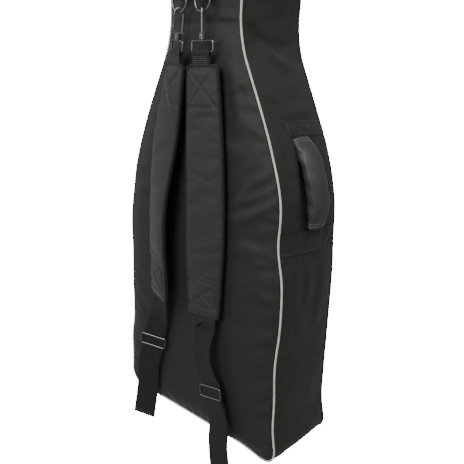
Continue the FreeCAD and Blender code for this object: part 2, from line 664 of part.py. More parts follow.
def make_pad(side, where):
    """Webbing looped on the swivel loop's lower bar, and the padded shoulder piece."""
    prefix = "strap_" + side
    reach = S.upper_web / 2
    eye = primitive("Cylinder", prefix + "_eye", {
        "Radius": "{loop_wire} + {web_clear} + {web_thick}", "Height": "{upper_web}"},
        (-reach, 0, 0), (0, 1, 0), 90)
    web = primitive("Box", prefix + "_web", {
        "Length": "{upper_web}", "Width": "{web_thick} * 2", "Height": "{pad_start} - {loop_wire}"},
        (-reach, -S.web_thick, -S.pad_start))
    bore = primitive("Cylinder", prefix + "_hole", {
        "Radius": "{loop_wire} + {web_clear}", "Height": "{upper_web} + 2"},
        (-reach - 1, 0, 0), (0, 1, 0), 90)
    keep(cut(prefix + "_loop", fuse(prefix + "_solid", [eye, web]), bore), "upper_webbing_" + side, where)
    profile = [("{pad_top_width}", 0), ("{pad_upper_width}", 0.3), ("{pad_wide}", 0.55),
               ("{pad_wide}", 0.72), ("{pad_end_width}", 1)]
    left = [("-%s / 2" % width, "-{pad_start} - {pad_length} * %g" % share) for width, share in profile]
    right = [("%s / 2" % width, drop) for (width, share), (_, drop) in zip(profile, left)]
    corners = left + right[::-1]
    polygon_body("shoulder_pad_" + side, "XZ_Plane", corners, "{pad_thick}", where)


def make_strap_end(side, where, drop, loop_length):
    """Lower webbing: down from the pad, through the tri-glide, round the end and back up."""
    thick = S.web_thick
    back = thick / 2 + S.return_gap
    end = drop + loop_length
    top = drop + S.glide_height / 2 + S.return_rise
    corners = [
        ("-{web_thick} / 2", "-{fabric_gap}"),
        ("-{web_thick} / 2", "-%g" % end),
        ("{web_thick} * 1.5 + {return_gap}", "-%g" % end),
        ("{web_thick} * 1.5 + {return_gap}", "-%g" % top),
        ("{web_thick} / 2 + {return_gap}", "-%g" % top),
        ("{web_thick} / 2 + {return_gap}", "-%g + {web_thick}" % end),
        ("{web_thick} / 2", "-%g + {web_thick}" % end),
        ("{web_thick} / 2", "-{fabric_gap}"),
    ]
    polygon_body("lower_webbing_" + side, "YZ_Plane", corners, "{lower_web}", where)
    # tri-glide: outer bars in front of the webbing, middle bar behind it
    half = S.glide_half
    rise = S.glide_height / 2
    wire = S.glide_wire
    front = -(thick / 2 + S.glide_clear + wire)
    bend = S.glide_bend
    dip = bend * (1 - math.sqrt(0.5))
    outline_points = [
        (half - bend, rise), (half - dip, rise - dip), (half, rise - bend),
        (half, -rise + bend), (half - dip, -rise + dip), (half - bend, -rise),
        (-half + bend, -rise), (-half + dip, -rise + dip), (-half, -rise + bend),
        (-half, rise - bend), (-half + dip, rise - dip), (-half + bend, rise),
    ]
    rim = round_bar(rounded_loop([V(x, front, z) for x, z in outline_points]), wire)
    posts = []
    for x in (-half, half):
        posts.append(Part.makeCylinder(wire * 1.1, wire * 1.3 - 2 * front, V(x, front, 0), V(0, 1, 0)))
    middle = Part.makeCylinder(wire, 2 * half, V(-half, -front, 0), V(1, 0, 0))
    glide = rim.multiFuse(posts + [middle])
    feature("tri_glide_" + side, glide, where * FreeCAD.Placement(V(0, 0, -drop), FreeCAD.Rotation()))


def make_straps():
    pivots = {}
    for side, pose in STRAPS.items():
        x = pose["ring_x"]
        y = -S.ring_stand
        make_ring(side, x)
        hook_at = frame(x, y, S.ring_height - S.ring_radius, pose["hook_turn"], pose["hook_lean"])
        gate = make_hook(side, hook_at)
        loop_drop = S.hook_spine + S.barrel_length + S.barrel_floor
        loop_point = hook_at.multVec(V(0, 0, -loop_drop)) + HANG
        loop_at = frame(loop_point.x, y, loop_point.z, pose["turn"], pose["hook_lean"])
        make_swivel_loop(side, loop_at)
        bar_point = loop_at.multVec(V(0, 0, -S.loop_drop)) + HANG
        pad_at = frame(bar_point.x, y, bar_point.z, pose["turn"], pose["lean"])
        make_pad(side, pad_at)
        end_point = pad_at.multVec(V(0, 0, -S.pad_start - S.pad_length)) + HANG
        end_at = frame(end_point.x, y, end_point.z, pose["end_turn"], pose["end_lean"])
        make_strap_end(side, end_at, pose["glide_drop"], pose["loop_length"])
        along = V(1, 0, 0)
        down = V(0, 0, -1)
        pivots[side] = {
            "ring": ORIGIN_SHIFT.multVec(V(x, y, S.ring_height + S.ring_leg)),
            "hook": hook_at.Base,
            "gate": hook_at.multVec(gate),
            "throat": hook_at.multVec(V(-0.5, 0, -S.hook_spine / 2 - 1)),
            "gate_axis": hook_at.Rotation.multVec(V(0, 1, 0)),
            "loop": loop_at.Base,
            "loop_axis": loop_at.Rotation.multVec(down),
            "pad": pad_at.Base,
            "pad_axis": pad_at.Rotation.multVec(along),
            "end": end_at.Base,
            "end_axis": end_at.Rotation.multVec(along),
            "glide_axis": end_at.Rotation.multVec(down),
        }
    return pivots


# ---------------------------------------------------------------- inside fittings

def make_inside():
    """Foam cradle and tie for the instrument's neck, and a bumper at the lower end."""
    low = S.cradle_low
    high = low + S.cradle_length
    half = S.cradle_half
    top = WALL + S.cradle_depth
    block = box(-half, half, WALL + S.inner_gap, top, low, high)
    groove = Part.makeCylinder(S.cradle_groove, S.cradle_length, V(0, top, low), V(0, 0, 1))
    feature("neck_cradle", block.cut(groove))
    face = top + S.inner_gap
    tie_z = low + (S.cradle_length - S.tie_width) / 2
    span = S.cradle_groove + S.tie_shoulder
    arch = span - S.tie_slope
    rise = face + S.tie_rise
    points = [V(-half, face, tie_z), V(-span, face, tie_z), V(-arch, rise, tie_z),
              V(arch, rise, tie_z), V(span, face, tie_z), V(half, face, tie_z)]
    lifted = [p + V(0, S.tie_thick, 0) for p in points]
    loop = Part.makePolygon(points + lifted[::-1] + [points[0]])
    feature("neck_tie", Part.Face(loop).extrude(V(0, 0, S.tie_width)))
    bumper = box(-S.bumper_half, S.bumper_half, WALL + S.bumper_back, S.bag_depth - S.bumper_front,
                 WALL + S.inner_gap, WALL + S.bumper_thick)
    feature("end_bumper", bumper)


make_shell()
make_lid()
make_pocket()
zip_x = -(S.body_width / 2 - S.tape_start - S.tape_width - S.teeth_width)
teeth_front = S.bag_depth - S.face_drop + S.teeth_rise
pocket_front = teeth_front + S.tape_thick / 2 + S.pocket_thick
make_slider("zipper_slider_upper", zip_x, teeth_front, S.upper_slider, 0)
make_slider("zipper_slider_lower", zip_x, teeth_front, S.lower_slider, 0)
make_slider("pocket_slider", S.pocket_zip_half - S.pocket_slider_back, pocket_front,
            S.pocket_high - S.pocket_zip_drop, 90)
make_hang_loop()
handle_ends = make_handle()
pivots = make_straps()
make_inside()
doc.recompute()

for obj in doc.Objects:
    if "Invalid" in obj.State or "Error" in obj.State:
        raise RuntimeError("%s failed: %s" % (obj.Label, obj.State))
os.makedirs("parts", exist_ok=True)
for obj in parts:
    if obj.Shape.isNull() or not obj.Shape.isValid() or not obj.Shape.Solids:
        raise RuntimeError("bad shape: " + obj.Label)
    obj.Shape.exportStep("parts/%s.step" % obj.Label)
print(len(parts), "sub-parts written")
for side, places in dict(pivots, handle=handle_ends).items():
    for name, place in places.items():
        print(side, name, [round(c, 3) for c in place])
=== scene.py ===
import json
import math
import random

import bpy
import numpy as np
from mathutils import Matrix, Vector
from mathutils.bvhtree import BVHTree


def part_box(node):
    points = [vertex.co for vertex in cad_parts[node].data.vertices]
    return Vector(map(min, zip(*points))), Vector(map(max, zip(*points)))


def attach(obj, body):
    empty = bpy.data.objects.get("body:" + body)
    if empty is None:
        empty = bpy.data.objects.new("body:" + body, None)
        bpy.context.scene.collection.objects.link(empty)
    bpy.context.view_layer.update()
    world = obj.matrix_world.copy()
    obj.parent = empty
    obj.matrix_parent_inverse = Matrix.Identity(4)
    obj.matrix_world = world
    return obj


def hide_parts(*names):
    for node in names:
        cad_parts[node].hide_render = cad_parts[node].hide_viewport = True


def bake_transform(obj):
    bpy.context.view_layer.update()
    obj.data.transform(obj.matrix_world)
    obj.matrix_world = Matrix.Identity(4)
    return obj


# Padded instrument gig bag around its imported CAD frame, in metres.
# "Local" points are (x across, y into the bag from its back panel, z up from its underside).

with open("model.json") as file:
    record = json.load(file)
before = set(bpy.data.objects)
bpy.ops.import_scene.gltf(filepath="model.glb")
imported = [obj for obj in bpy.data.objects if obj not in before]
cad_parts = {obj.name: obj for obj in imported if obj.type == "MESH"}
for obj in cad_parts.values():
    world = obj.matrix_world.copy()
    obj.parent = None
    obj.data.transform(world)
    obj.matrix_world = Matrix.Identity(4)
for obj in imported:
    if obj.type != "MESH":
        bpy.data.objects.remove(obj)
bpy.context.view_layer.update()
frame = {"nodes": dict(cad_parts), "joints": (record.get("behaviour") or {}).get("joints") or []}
scene = bpy.context.scene
JOINTS = {joint["name"]: joint for joint in frame["joints"]}
MM = 0.001

gusset_low, gusset_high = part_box("gusset_cover")
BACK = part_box("back_panel_cover")[0].y
UNDER = gusset_low.z
HALF = gusset_high.x
LENGTH = gusset_high.z - gusset_low.z
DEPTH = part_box("lid_foam")[1].y - BACK + 0.5 * MM
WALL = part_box("back_panel_lining")[1].y - BACK

# the outline's arcs, as the bag is cut
CORNER_RADIUS = 28 * MM
SHOULDER_HEIGHT = 300 * MM
SHOULDER_RADIUS = 420 * MM
SHOULDER_LEAN = math.radians(25)
WAIST_RADIUS = 154 * MM
HEAD_HALF = 80 * MM
HEAD_RADIUS = 38 * MM
NECK_LEAN = math.radians(1.8)
OUTLINE_POINTS = 380

# the soft body's departures from its cut: size, height and reach of each
HANDLE_PINCH = (9.5 * MM, 322 * MM, 38 * MM)
LOW_SWELL = (3.0 * MM, 235 * MM, 50 * MM)

PULLED_CORNER = (0.152, 0.010)
PULLED_REACH = 32 * MM

PANEL_STEP = 6.4 * MM
SEWN_STEP = 2.5 * MM
SETTLE_FRAMES = 20


# ------------------------------------------------------------------ points and frames

def place(local):
    """Local points in the row frame."""
    return np.asarray(local, float) + np.array([0.0, BACK, UNDER])


def unit(v):
    v = np.asarray(v, float)
    return v / np.maximum(np.linalg.norm(v, axis=-1, keepdims=True), 1e-12)


def smooth_step(value, low, high):
    t = np.clip((value - low) / (high - low), 0, 1)
    return t * t * (3 - 2 * t)


def hump(at, size, middle, reach):
    """A smooth rise of a size about a middle."""
    return size * np.exp(-((at - middle) / reach) ** 2)


def run_along(points):
    """Distance along a line at each of its points."""
    return np.concatenate([[0], np.cumsum(np.linalg.norm(np.diff(points, axis=0), axis=1))])


def at_run(at, run, values):
    """Values of a line's points at distances along it."""
    return np.stack([np.interp(at, run, column) for column in values.T], -1)


def turns_round(count):
    return np.arange(count) / count * 2 * math.pi


def sag(local):
    """The soft body's own small departures from its cut: a pinch at the handle, waves at the back."""
    p = np.array(local, float)
    x, y, z = p[..., 0], p[..., 1], p[..., 2]
    back = np.clip(1 - y / DEPTH, 0, 1)
    edge = np.sign(x) * np.minimum(np.abs(x) / HALF, 1) ** 3
    pinch = hump(z, *HANDLE_PINCH) * (0.35 + 0.65 * back)
    swell = hump(z, *LOW_SWELL) * back
    wave = (1.3 * np.sin(24 * z + 0.8) + 0.8 * np.sin(61 * z + 2.1)) * MM * back
    p[..., 0] = x - np.maximum(edge, 0) * (pinch - swell) + edge * wave
    corner_x, corner_z = PULLED_CORNER
    corner = np.exp(-((x - corner_x) ** 2 + (z - corner_z) ** 2) / PULLED_REACH ** 2)
    p[..., 0] += 8 * MM * corner
    p[..., 1] = y + 5 * MM * corner * (1 - back)
    p[..., 2] = z - 9 * MM * corner
    return p


def on_bag(x, y, z):
    """Points of the sagging bag in the row frame."""
    return place(sag(np.stack(np.broadcast_arrays(x, y, z), -1)))


def right_side(inset):
    """Right half of the outline from the middle of the underside to the middle of the top."""
    out_shoulder = (math.cos(SHOULDER_LEAN), math.sin(SHOULDER_LEAN))
    out_neck = (math.cos(NECK_LEAN), -math.sin(NECK_LEAN))
    shoulder = (HALF - SHOULDER_RADIUS, SHOULDER_HEIGHT)
    reach1 = (out_shoulder[0] * shoulder[0] + out_shoulder[1] * shoulder[1]
              + SHOULDER_RADIUS + WAIST_RADIUS)
    neck_line = out_neck[0] * HEAD_HALF + out_neck[1] * LENGTH
    reach2 = neck_line + WAIST_RADIUS
    waist = np.linalg.solve(np.array([out_shoulder, out_neck]), np.array([reach1, reach2]))
    head_z = LENGTH - HEAD_RADIUS
    head = ((neck_line - HEAD_RADIUS - out_neck[1] * head_z) / out_neck[0], head_z)
    corner = (HALF - CORNER_RADIUS, CORNER_RADIUS)
    quarter = math.pi / 2
    arcs = [
        (corner, CORNER_RADIUS - inset, -quarter, 0.0),
        (shoulder, SHOULDER_RADIUS - inset, 0.0, SHOULDER_LEAN),
        (waist, -(WAIST_RADIUS + inset), SHOULDER_LEAN, -NECK_LEAN),
        (head, HEAD_RADIUS - inset, -NECK_LEAN, quarter),
    ]
    points, normals = [np.array([[0.0, inset]])], [np.array([[0.0, -1.0]])]
    for centre, radius, first, last in arcs:
        angles = np.linspace(first, last, 40)
        facing = np.stack([np.cos(angles), np.sin(angles)], 1)
        points.append(np.array(centre) + radius * facing)
        normals.append(facing)
    points.append(np.array([[0.0, LENGTH - inset]]))
    normals.append(np.array([[0.0, 1.0]]))
    return np.concatenate(points), np.concatenate(normals)


def resample(points, normals, count):
    """The same path with evenly spaced points."""
    run = run_along(points)
    at = np.linspace(0, run[-1], count)
    return at_run(at, run, points), unit(at_run(at, run, normals))


def outline(inset, count=OUTLINE_POINTS):
    """Closed outline from the middle of the underside, up the right side and down the left."""
    points, normals = resample(*right_side(inset), count // 2 + 1)
    mirror = np.array([-1.0, 1.0])
    points = np.concatenate([points, (points * mirror)[::-1][1:-1]])
    normals = np.concatenate([normals, (normals * mirror)[::-1][1:-1]])
    return points, normals


def half_width(z, inset):
    """Half the outline's width at a height."""
    rising = right_side(inset)[0][1:-1]
    return np.interp(z, rising[:, 1], rising[:, 0])


def in_depth(flat, y):
    """Outline points (x, z) at a depth y, as local points."""
    return np.stack(np.broadcast_arrays(flat[:, 0], y, flat[:, 1]), 1)


class Pose:
    """A strap part's own frame: a point and three directions."""

    def __init__(self, origin, across, up):
        self.origin = np.array(origin, float)
        self.up = unit(up)
        self.across = unit(across - np.dot(across, self.up) * self.up)
        self.depth = np.cross(self.up, self.across)

    def at(self, points):
        p = np.asarray(points, float)
        return self.origin + p[..., :1] * self.across + p[..., 1:2] * self.depth + p[..., 2:3] * self.up


# ------------------------------------------------------------------ meshes

def grid_faces(rows, cols, wrap=False, first=0, flip=False):
    faces = []
    for i in range(rows if wrap else rows - 1):
        a = first + i * cols
        b = first + ((i + 1) % rows) * cols
        for j in range(cols - 1):
            face = (a + j, a + j + 1, b + j + 1, b + j)
            faces.append(face[::-1] if flip else face)
    return faces


def tube_faces(rings, sides, first=0, caps=True):
    """Faces of a tube made of rings of points, with its flat ends."""
    faces = []
    for low in range(first, first + (rings - 1) * sides, sides):
        for j in range(sides):
            k = (j + 1) % sides
            faces.append((low + j, low + k, low + sides + k, low + sides + j))
    if caps:
        last = first + (rings - 1) * sides
        faces.append(tuple(range(first, first + sides))[::-1])
        faces.append(tuple(range(last, last + sides)))
    return faces


def mesh_piece(name, points, faces, material, run=None):
    mesh = bpy.data.meshes.new(name)
    mesh.from_pydata([tuple(p) for p in np.asarray(points, float)], [], faces)
    mesh.materials.append(material)
    mesh.polygons.foreach_set("use_smooth", np.ones(len(mesh.polygons), bool))
    if run is not None:
        layer = mesh.attributes.new("run", "FLOAT_VECTOR", "POINT")
        layer.data.foreach_set("vector", np.asarray(run, np.float32).ravel())
    mesh.validate()
    obj = bpy.data.objects.new(name, mesh)
    scene.collection.objects.link(obj)
    return obj


def fit(piece, body, slot, *nodes, fill=None):
    """Puts a piece on its body and hides the CAD nodes it stands for; slot and fill are not used."""
    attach(piece, body)
    if nodes:
        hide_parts(*nodes)


def read_vectors(mesh, key):
    values = np.zeros(len(mesh.vertices) * 3, np.float32)
    mesh.vertices.foreach_get(key, values)
    return values.reshape(-1, 3).astype(float)


def coordinates(mesh):
    return read_vectors(mesh, "co")


def set_coordinates(mesh, points):
    mesh.vertices.foreach_set("co", np.asarray(points, np.float32).ravel())
    mesh.update()


def bake_modifiers(obj):
    graph = bpy.context.evaluated_depsgraph_get()
    graph.update()
    made = bpy.data.meshes.new_from_object(obj.evaluated_get(graph), preserve_all_data_layers=True,
                                           depsgraph=graph)
    old = obj.data
    obj.modifiers.clear()
    obj.data = made
    made.name = old.name
    bpy.data.meshes.remove(old)


def subdivide(obj):
    modifier = obj.modifiers.new("Subdivision", "SUBSURF")
    modifier.levels = modifier.render_levels = 1
    bake_modifiers(obj)


def inflate(obj, held, pressure, cap, grow):
    """Lets the cloth swell and settle with some points held, moving none further than cap."""
    start = coordinates(obj.data)
    group = obj.vertex_groups.new(name="held")
    group.add([int(i) for i in held], 1.0, "REPLACE")
    modifier = obj.modifiers.new("Cloth", "CLOTH")
    settings = modifier.settings
    for key, value in dict(quality=5, mass=0.1, tension_stiffness=12, compression_stiffness=12,
                           shear_stiffness=5, bending_stiffness=0.4, use_pressure=True,
                           uniform_pressure_force=pressure, vertex_group_mass="held",
                           shrink_min=-grow).items():
        setattr(settings, key, value)
    settings.effector_weights.gravity = 0
    modifier.collision_settings.use_collision = False
    modifier.point_cache.frame_start = 1
    modifier.point_cache.frame_end = SETTLE_FRAMES
    for number in range(1, SETTLE_FRAMES + 1):
        scene.frame_set(number)
    graph = bpy.context.evaluated_depsgraph_get()
    settled = coordinates(obj.evaluated_get(graph).data)
    obj.modifiers.clear()
    obj.vertex_groups.clear()
    scene.frame_set(1)
    moved = np.nan_to_num(settled - start)
    length = np.linalg.norm(moved, axis=1, keepdims=True)
    limited = moved * cap * np.tanh(length / cap) / np.maximum(length, 1e-9)
    set_coordinates(obj.data, start + limited)


def sweep(name, centre, side, up, section, material, closed=False, scale=None, extra=None):
    """Sweeps a section (pairs along side and up) along centre; keeps across/along in "run"."""
    centre, side, up = (np.asarray(v, float) for v in (centre, side, up))
    section = np.asarray(section, float)
    count, size = len(centre), len(section)
    grow = np.ones((count, 2)) if scale is None else np.asarray(scale, float)
    spread = section[None] * grow[:, None]
    points = centre[:, None] + spread[..., :1] * side[:, None] + spread[..., 1:] * up[:, None]
    if extra is not None:
        points = points + extra
    run = np.zeros((count, size, 3))
    run[..., 0] = section[None, :, 0]
    run[..., 1] = run_along(centre)[:, None]
    run[..., 2] = section[None, :, 1]
    faces = []
    for i in range(count if closed else count - 1):
        a, b = i * size, ((i + 1) % count) * size
        for j in range(size):
            k = (j + 1) % size
            faces.append((a + j, b + j, b + k, a + k))
    if not closed:
        last = (count - 1) * size
        faces.append(tuple(range(size)))
        faces.append(tuple(last + j for j in reversed(range(size))))
    obj = mesh_piece(name, points.reshape(-1, 3), faces, material, run.reshape(-1, 3))
    fix_normals(obj)
    return obj


def fix_normals(obj):
    """Turns a closed mesh right side out."""
    mesh = obj.data
    mesh.calc_loop_triangles()
    co = coordinates(mesh)
    tris = np.array([t.vertices for t in mesh.loop_triangles])
    middle = co.mean(0)
    a, b, c = (co[tris[:, i]] - middle for i in range(3))
    if np.einsum("ij,ij->i", a, np.cross(b, c)).sum() < 0:
        mesh.flip_normals()


def face_outward(obj):
    """Makes every face of a closed form turn outward."""
    bpy.context.view_layer.objects.active = obj
    with bpy.context.temp_override(active_object=obj, object=obj, selected_objects=[obj]):
        bpy.ops.object.mode_set(mode="EDIT")
        bpy.ops.mesh.select_all(action="SELECT")
        bpy.ops.mesh.normals_make_consistent(inside=False)
        bpy.ops.object.mode_set(mode="OBJECT")


def circle(radius, count):
    turns = turns_round(count)
    return np.stack([radius * np.cos(turns), radius * np.sin(turns)], 1)


def ribbon(width, thick, edge=1.15, across=6):
    """Section of woven tape: a flat strip with slightly fuller rounded edges."""
    half, rise = width / 2, thick / 2
    xs = np.linspace(-half + rise, half - rise, across)
    full = 1 + (edge - 1) * (np.abs(xs) / half) ** 8
    top = np.stack([xs, rise * full], 1)
    ends = np.array([[half, rise * 0.5], [half, -rise * 0.5]])
    return np.concatenate([top, ends, top[::-1] * [1, -1], ends[::-1] * [-1, 1]])


def join(name, objects):
    """Joins pieces of one body into one object."""
    for obj in bpy.context.selected_objects:
        obj.select_set(False)
    with bpy.context.temp_override(active_object=objects[0], object=objects[0],
                                   selected_objects=objects, selected_editable_objects=objects):
        bpy.ops.object.join()
    objects[0].name = name
    objects[0].data.name = name
    return objects[0]


def tree_of(obj):
    mesh = obj.data
    return BVHTree.FromPolygons([v.co for v in mesh.vertices], [tuple(p.vertices) for p in mesh.polygons])


def onto(tree, points, towards, reach=60 * MM):
    """Points dropped onto a surface along a direction, and the surface's facing there."""
    points = np.asarray(points, float)
    towards = np.broadcast_to(unit(towards), points.shape)
    landed, facing = [], []
    for p, d in zip(points, towards):
        ray = Vector(d)
        hit, normal, _, _ = tree.ray_cast(Vector(p) - ray * reach, ray)
        if hit is None:
            hit, normal = Vector(p), -ray
        if normal.dot(ray) > 0:
            normal = -normal
        landed.append(hit)
        facing.append(normal)
    return np.array(landed), np.array(facing)


STITCH_RINGS = ((0.0, 0.35), (0.12, 0.85), (0.5, 1.0), (0.88, 0.85), (1.0, 0.35))
STITCH_SIDES, STITCH_GAP, STITCH_RISE = 6, 0.28, 0.45


def stitches(name, paths, material, pitch=3.4 * MM, thick=0.42 * MM):
    """Thread along paths that already lie on a surface; a path is (points, facings)."""
    points, faces = [], []
    spokes = [(math.cos(turn), math.sin(turn)) for turn in turns_round(STITCH_SIDES)]
    for path, facing in paths:
        run = run_along(path)
        count = max(1, int(round(run[-1] / pitch)))
        for i in range(count):
            ends = np.array([i, i + 1 - STITCH_GAP]) / count * run[-1]
            a, b = (at_run(end, run, path) for end in ends)
            up = unit(at_run(ends.mean(), run, facing))
            along = b - a
            if np.linalg.norm(along) < 1e-6:
                continue
            across = unit(np.cross(along, up))
            up = unit(np.cross(across, along))
            faces += tube_faces(len(STITCH_RINGS), STITCH_SIDES, len(points))
            for t, size in STITCH_RINGS:
                bow = 4 * t * (1 - t) * thick * STITCH_RISE
                centre = a + along * t + up * (bow + thick * 0.1)
                points += [centre + thick * size * (c * across + 0.8 * s * up) for c, s in spokes]
    return mesh_piece(name, np.array(points), faces, material)


def boxed_cross(corners):
    """Sewn lines of a box with a cross in it."""
    a, b, c, d = corners
    return [[a, b, c, d, a], [a, c], [b, d]]


def sewn(name, tree, lines, towards, material, body, slot, **look):
    """Stitches along straight runs between points, dropped onto a surface."""
    paths = []
    for line in lines:
        line = np.asarray(line, float)
        dense = [line[0]]
        for a, b in zip(line, line[1:]):
            count = max(1, int(np.linalg.norm(b - a) / SEWN_STEP))
            dense += [a + (b - a) * (i + 1) / count for i in range(count)]
        paths.append(onto(tree, np.array(dense), towards))
    fit(stitches(name, paths, material, **look), body, slot)


def press(obj, lines, depth, width, towards):
    """Presses sewn channels into a surface along lines, away from where it faces."""
    co = coordinates(obj.data)
    normal = read_vectors(obj.data, "normal")
    inward = unit(towards)
    nearest = np.full(len(co), 1.0)
    flat = co - (co @ inward)[:, None] * inward
    for line in lines:
        line = np.asarray(line, float)
        line = line - (line @ inward)[:, None] * inward
        for a, b in zip(line, line[1:]):
            span = b - a
            t = np.clip(((flat - a) @ span) / max(span @ span, 1e-12), 0, 1)
            nearest = np.minimum(nearest, np.linalg.norm(flat - a - t[:, None] * span, axis=1))
    facing = np.clip(-(normal @ inward), 0, 1)
    dip = depth * np.exp(-(nearest / width) ** 2) * facing
    set_coordinates(obj.data, co + dip[:, None] * inward)


def crease_height(u, v, creases):
    """Height of drawn folds at surface places (u, v); a crease is points, depth and width."""
    total = np.zeros_like(u)
    for points, depth, width in creases:
        points = np.asarray(points, float)
        steps = np.linalg.norm(np.diff(points, axis=0), axis=1)
        whole = steps.sum()
        best = np.full(u.shape, 1e9)
        side = np.zeros_like(u)
        share = np.zeros_like(u)
        done = 0.0
        for a, b, step in zip(points, points[1:], steps):
            along = (b - a) / step
            du, dv = u - a[0], v - a[1]
            t = np.clip((du * along[0] + dv * along[1]) / step, 0, 1)
            ex, ey = du - t * step * along[0], dv - t * step * along[1]
            away = np.hypot(ex, ey)
            hit = away < best
            best = np.where(hit, away, best)
            side = np.where(hit, along[0] * ey - along[1] * ex, side)
            share = np.where(hit, (done + t * step) / whole, share)
            done += step
        signed = np.where(side >= 0, best, -best) / width
        fade = np.clip(np.sin(np.pi * np.clip(share, 0.02, 0.98)), 0, 1) ** 0.7
        inside = (share > 0.001) & (share < 0.999) | (best < width * 2.5)
        shape = np.exp(-signed ** 2) - 0.8 * np.exp(-((signed - 1.25) / 0.8) ** 2)
        total += depth * fade * shape * inside
    return total


def in_mm(creases):
    return [(points, depth * MM, width * MM) for points, depth, width in creases]


def random_creases(seed, count, start, length, depth, width, bend=0.3):
    """Short folds; start(random) gives a place and a direction."""
    draw = random.Random(seed)
    found = []
    for _ in range(count):
        (u, v), angle = start(draw)
        reach = draw.uniform(*length)
        turn = draw.uniform(-bend, bend)
        points = [(u, v)]
        for _ in range(3):
            angle += turn
            points.append((points[-1][0] + reach / 3 * math.cos(angle),
                           points[-1][1] + reach / 3 * math.sin(angle)))
        found.append((points, draw.uniform(*depth), draw.uniform(*width)))
    return found


# ------------------------------------------------------------------ materials

class Nodes:
    """Short calls for building one material's node tree."""

    def __init__(self, name):
        self.material = bpy.data.materials.new(name)
        self.material.use_nodes = True
        self.tree = self.material.node_tree
        self.shader = self.tree.nodes["Principled BSDF"]
        self.place = self.add("TexCoord").outputs["Object"]

    def add(self, kind, inputs=None, **settings):
        node = self.tree.nodes.new("ShaderNode" + kind)
        for key, value in settings.items():
            setattr(node, key, value)
        for key, value in (inputs or {}).items():
            self.put(node.inputs[key], value)
        return node

    def put(self, socket, value):
        if isinstance(value, bpy.types.NodeSocket):
            self.tree.links.new(value, socket)
        else:
            socket.default_value = value

    def math(self, operation, a, b=0.0, clamp=False):
        node = self.add("Math", {0: a, 1: b}, operation=operation, use_clamp=clamp)
        return node.outputs[0]

    def noise(self, scale, detail=3.0, rough=0.5):
        found = self.add("TexNoise", {"Vector": self.place, "Scale": scale, "Detail": detail,
                                      "Roughness": rough})
        return found.outputs["Fac"]

    def blend(self, factor, low, high):
        node = self.add("Mix", data_type="RGBA")
        self.put(node.inputs["Factor"], factor)
        self.put(node.inputs["A"], (*low, 1.0))
        self.put(node.inputs["B"], (*high, 1.0))
        return node.outputs["Result"]

    def spread(self, value, low, high):
        """A 0 to 1 value as a number from low to high."""
        return self.add("MapRange", {"Value": value, "To Min": low, "To Max": high}).outputs["Result"]

    def bump(self, height, strength, distance, under=None):
        node = self.add("Bump", {"Height": height, "Strength": strength, "Distance": distance})
        if under is not None:
            self.put(node.inputs["Normal"], under)
        return node.outputs["Normal"]

    def weave(self, pitch):
        """Height of a plain weave on whichever plane the surface faces, -1 to 1."""
        place = self.add("SeparateXYZ", {0: self.place})
        facing = self.add("SeparateXYZ", {0: self.add("NewGeometry").outputs["Normal"]})
        turns = 2 * math.pi / pitch
        waves = [self.math("SINE", self.math("MULTIPLY", place.outputs[i], turns)) for i in range(3)]
        total = None
        for i in range(3):
            pair = self.math("MULTIPLY", waves[(i + 1) % 3], waves[(i + 2) % 3])
            part = self.math("MULTIPLY", pair, self.math("ABSOLUTE", facing.outputs[i]))
            total = part if total is None else self.math("ADD", total, part)
        return total

    def set(self, **values):
        names = {"color": "Base Color", "rough": "Roughness", "metal": "Metallic", "normal": "Normal",
                 "sheen": "Sheen Weight", "sheen_rough": "Sheen Roughness", "specular": "Specular IOR Level",
                 "coat": "Coat Weight", "coat_rough": "Coat Roughness"}
        for key, value in values.items():
            self.put(self.shader.inputs[names[key]], value)
        return self.material


def grey(level, warmth=0.0):
    return (level * (1 + warmth), level, level * (1 - warmth))


def woven_cloth(name, dark, light, rough=0.6, sheen=0.12, crumple=1.0):
    """Coated nylon: fine plain weave, soft crumpling, threads a little lighter than the gaps."""
    n = Nodes(name)
    weave = n.weave(0.9 * MM)
    patches = n.noise(14.0, 4.0, 0.6)
    tone = n.math("ADD", n.math("MULTIPLY", weave, 0.22), n.math("MULTIPLY", patches, 0.9))
    color = n.blend(n.math("MULTIPLY", tone, 1.0, True), grey(dark, 0.07), grey(light, 0.07))
    broad = n.bump(n.noise(26.0, 3.0, 0.55), 0.5 * crumple, 2.4 * MM)
    small = n.bump(n.noise(90.0, 4.0, 0.6), 0.35 * crumple, 0.9 * MM, broad)
    fine = n.bump(weave, 0.28, 0.16 * MM, small)
    return n.set(color=color, rough=n.spread(patches, rough - 0.07, rough + 0.09), sheen=sheen,
                 sheen_rough=0.45, specular=0.42, normal=fine)


def woven_tape(name, dark, light, rib=2.1 * MM):
    """Webbing: chevron ribs across the tape, with fuzz and slight fading."""
    n = Nodes(name)
    run = n.add("SeparateXYZ", {0: n.add("Attribute", attribute_name="run").outputs["Vector"]})
    across = n.math("ABSOLUTE", run.outputs[0])
    slant = n.math("ADD", run.outputs[1], n.math("MULTIPLY", n.math("PINGPONG", across, 3.2 * MM), 0.9))
    ribs = n.math("SINE", n.math("MULTIPLY", slant, 2 * math.pi / rib))
    warp = n.math("SINE", n.math("MULTIPLY", run.outputs[0], 2 * math.pi / (1.1 * MM)))
    height = n.math("ADD", ribs, n.math("MULTIPLY", warp, 0.6))
    worn = n.noise(40.0, 4.0, 0.65)
    tone = n.math("ADD", n.math("MULTIPLY", height, 0.16), n.math("MULTIPLY", worn, 0.85), True)
    color = n.blend(tone, grey(dark, 0.05), grey(light, 0.05))
    fuzz = n.bump(n.noise(1500.0, 2.0), 0.25, 0.2 * MM)
    return n.set(color=color, rough=n.spread(worn, 0.61, 0.76), sheen=0.06, sheen_rough=0.5,
                 specular=0.28, normal=n.bump(height, 0.5, 0.22 * MM, fuzz))


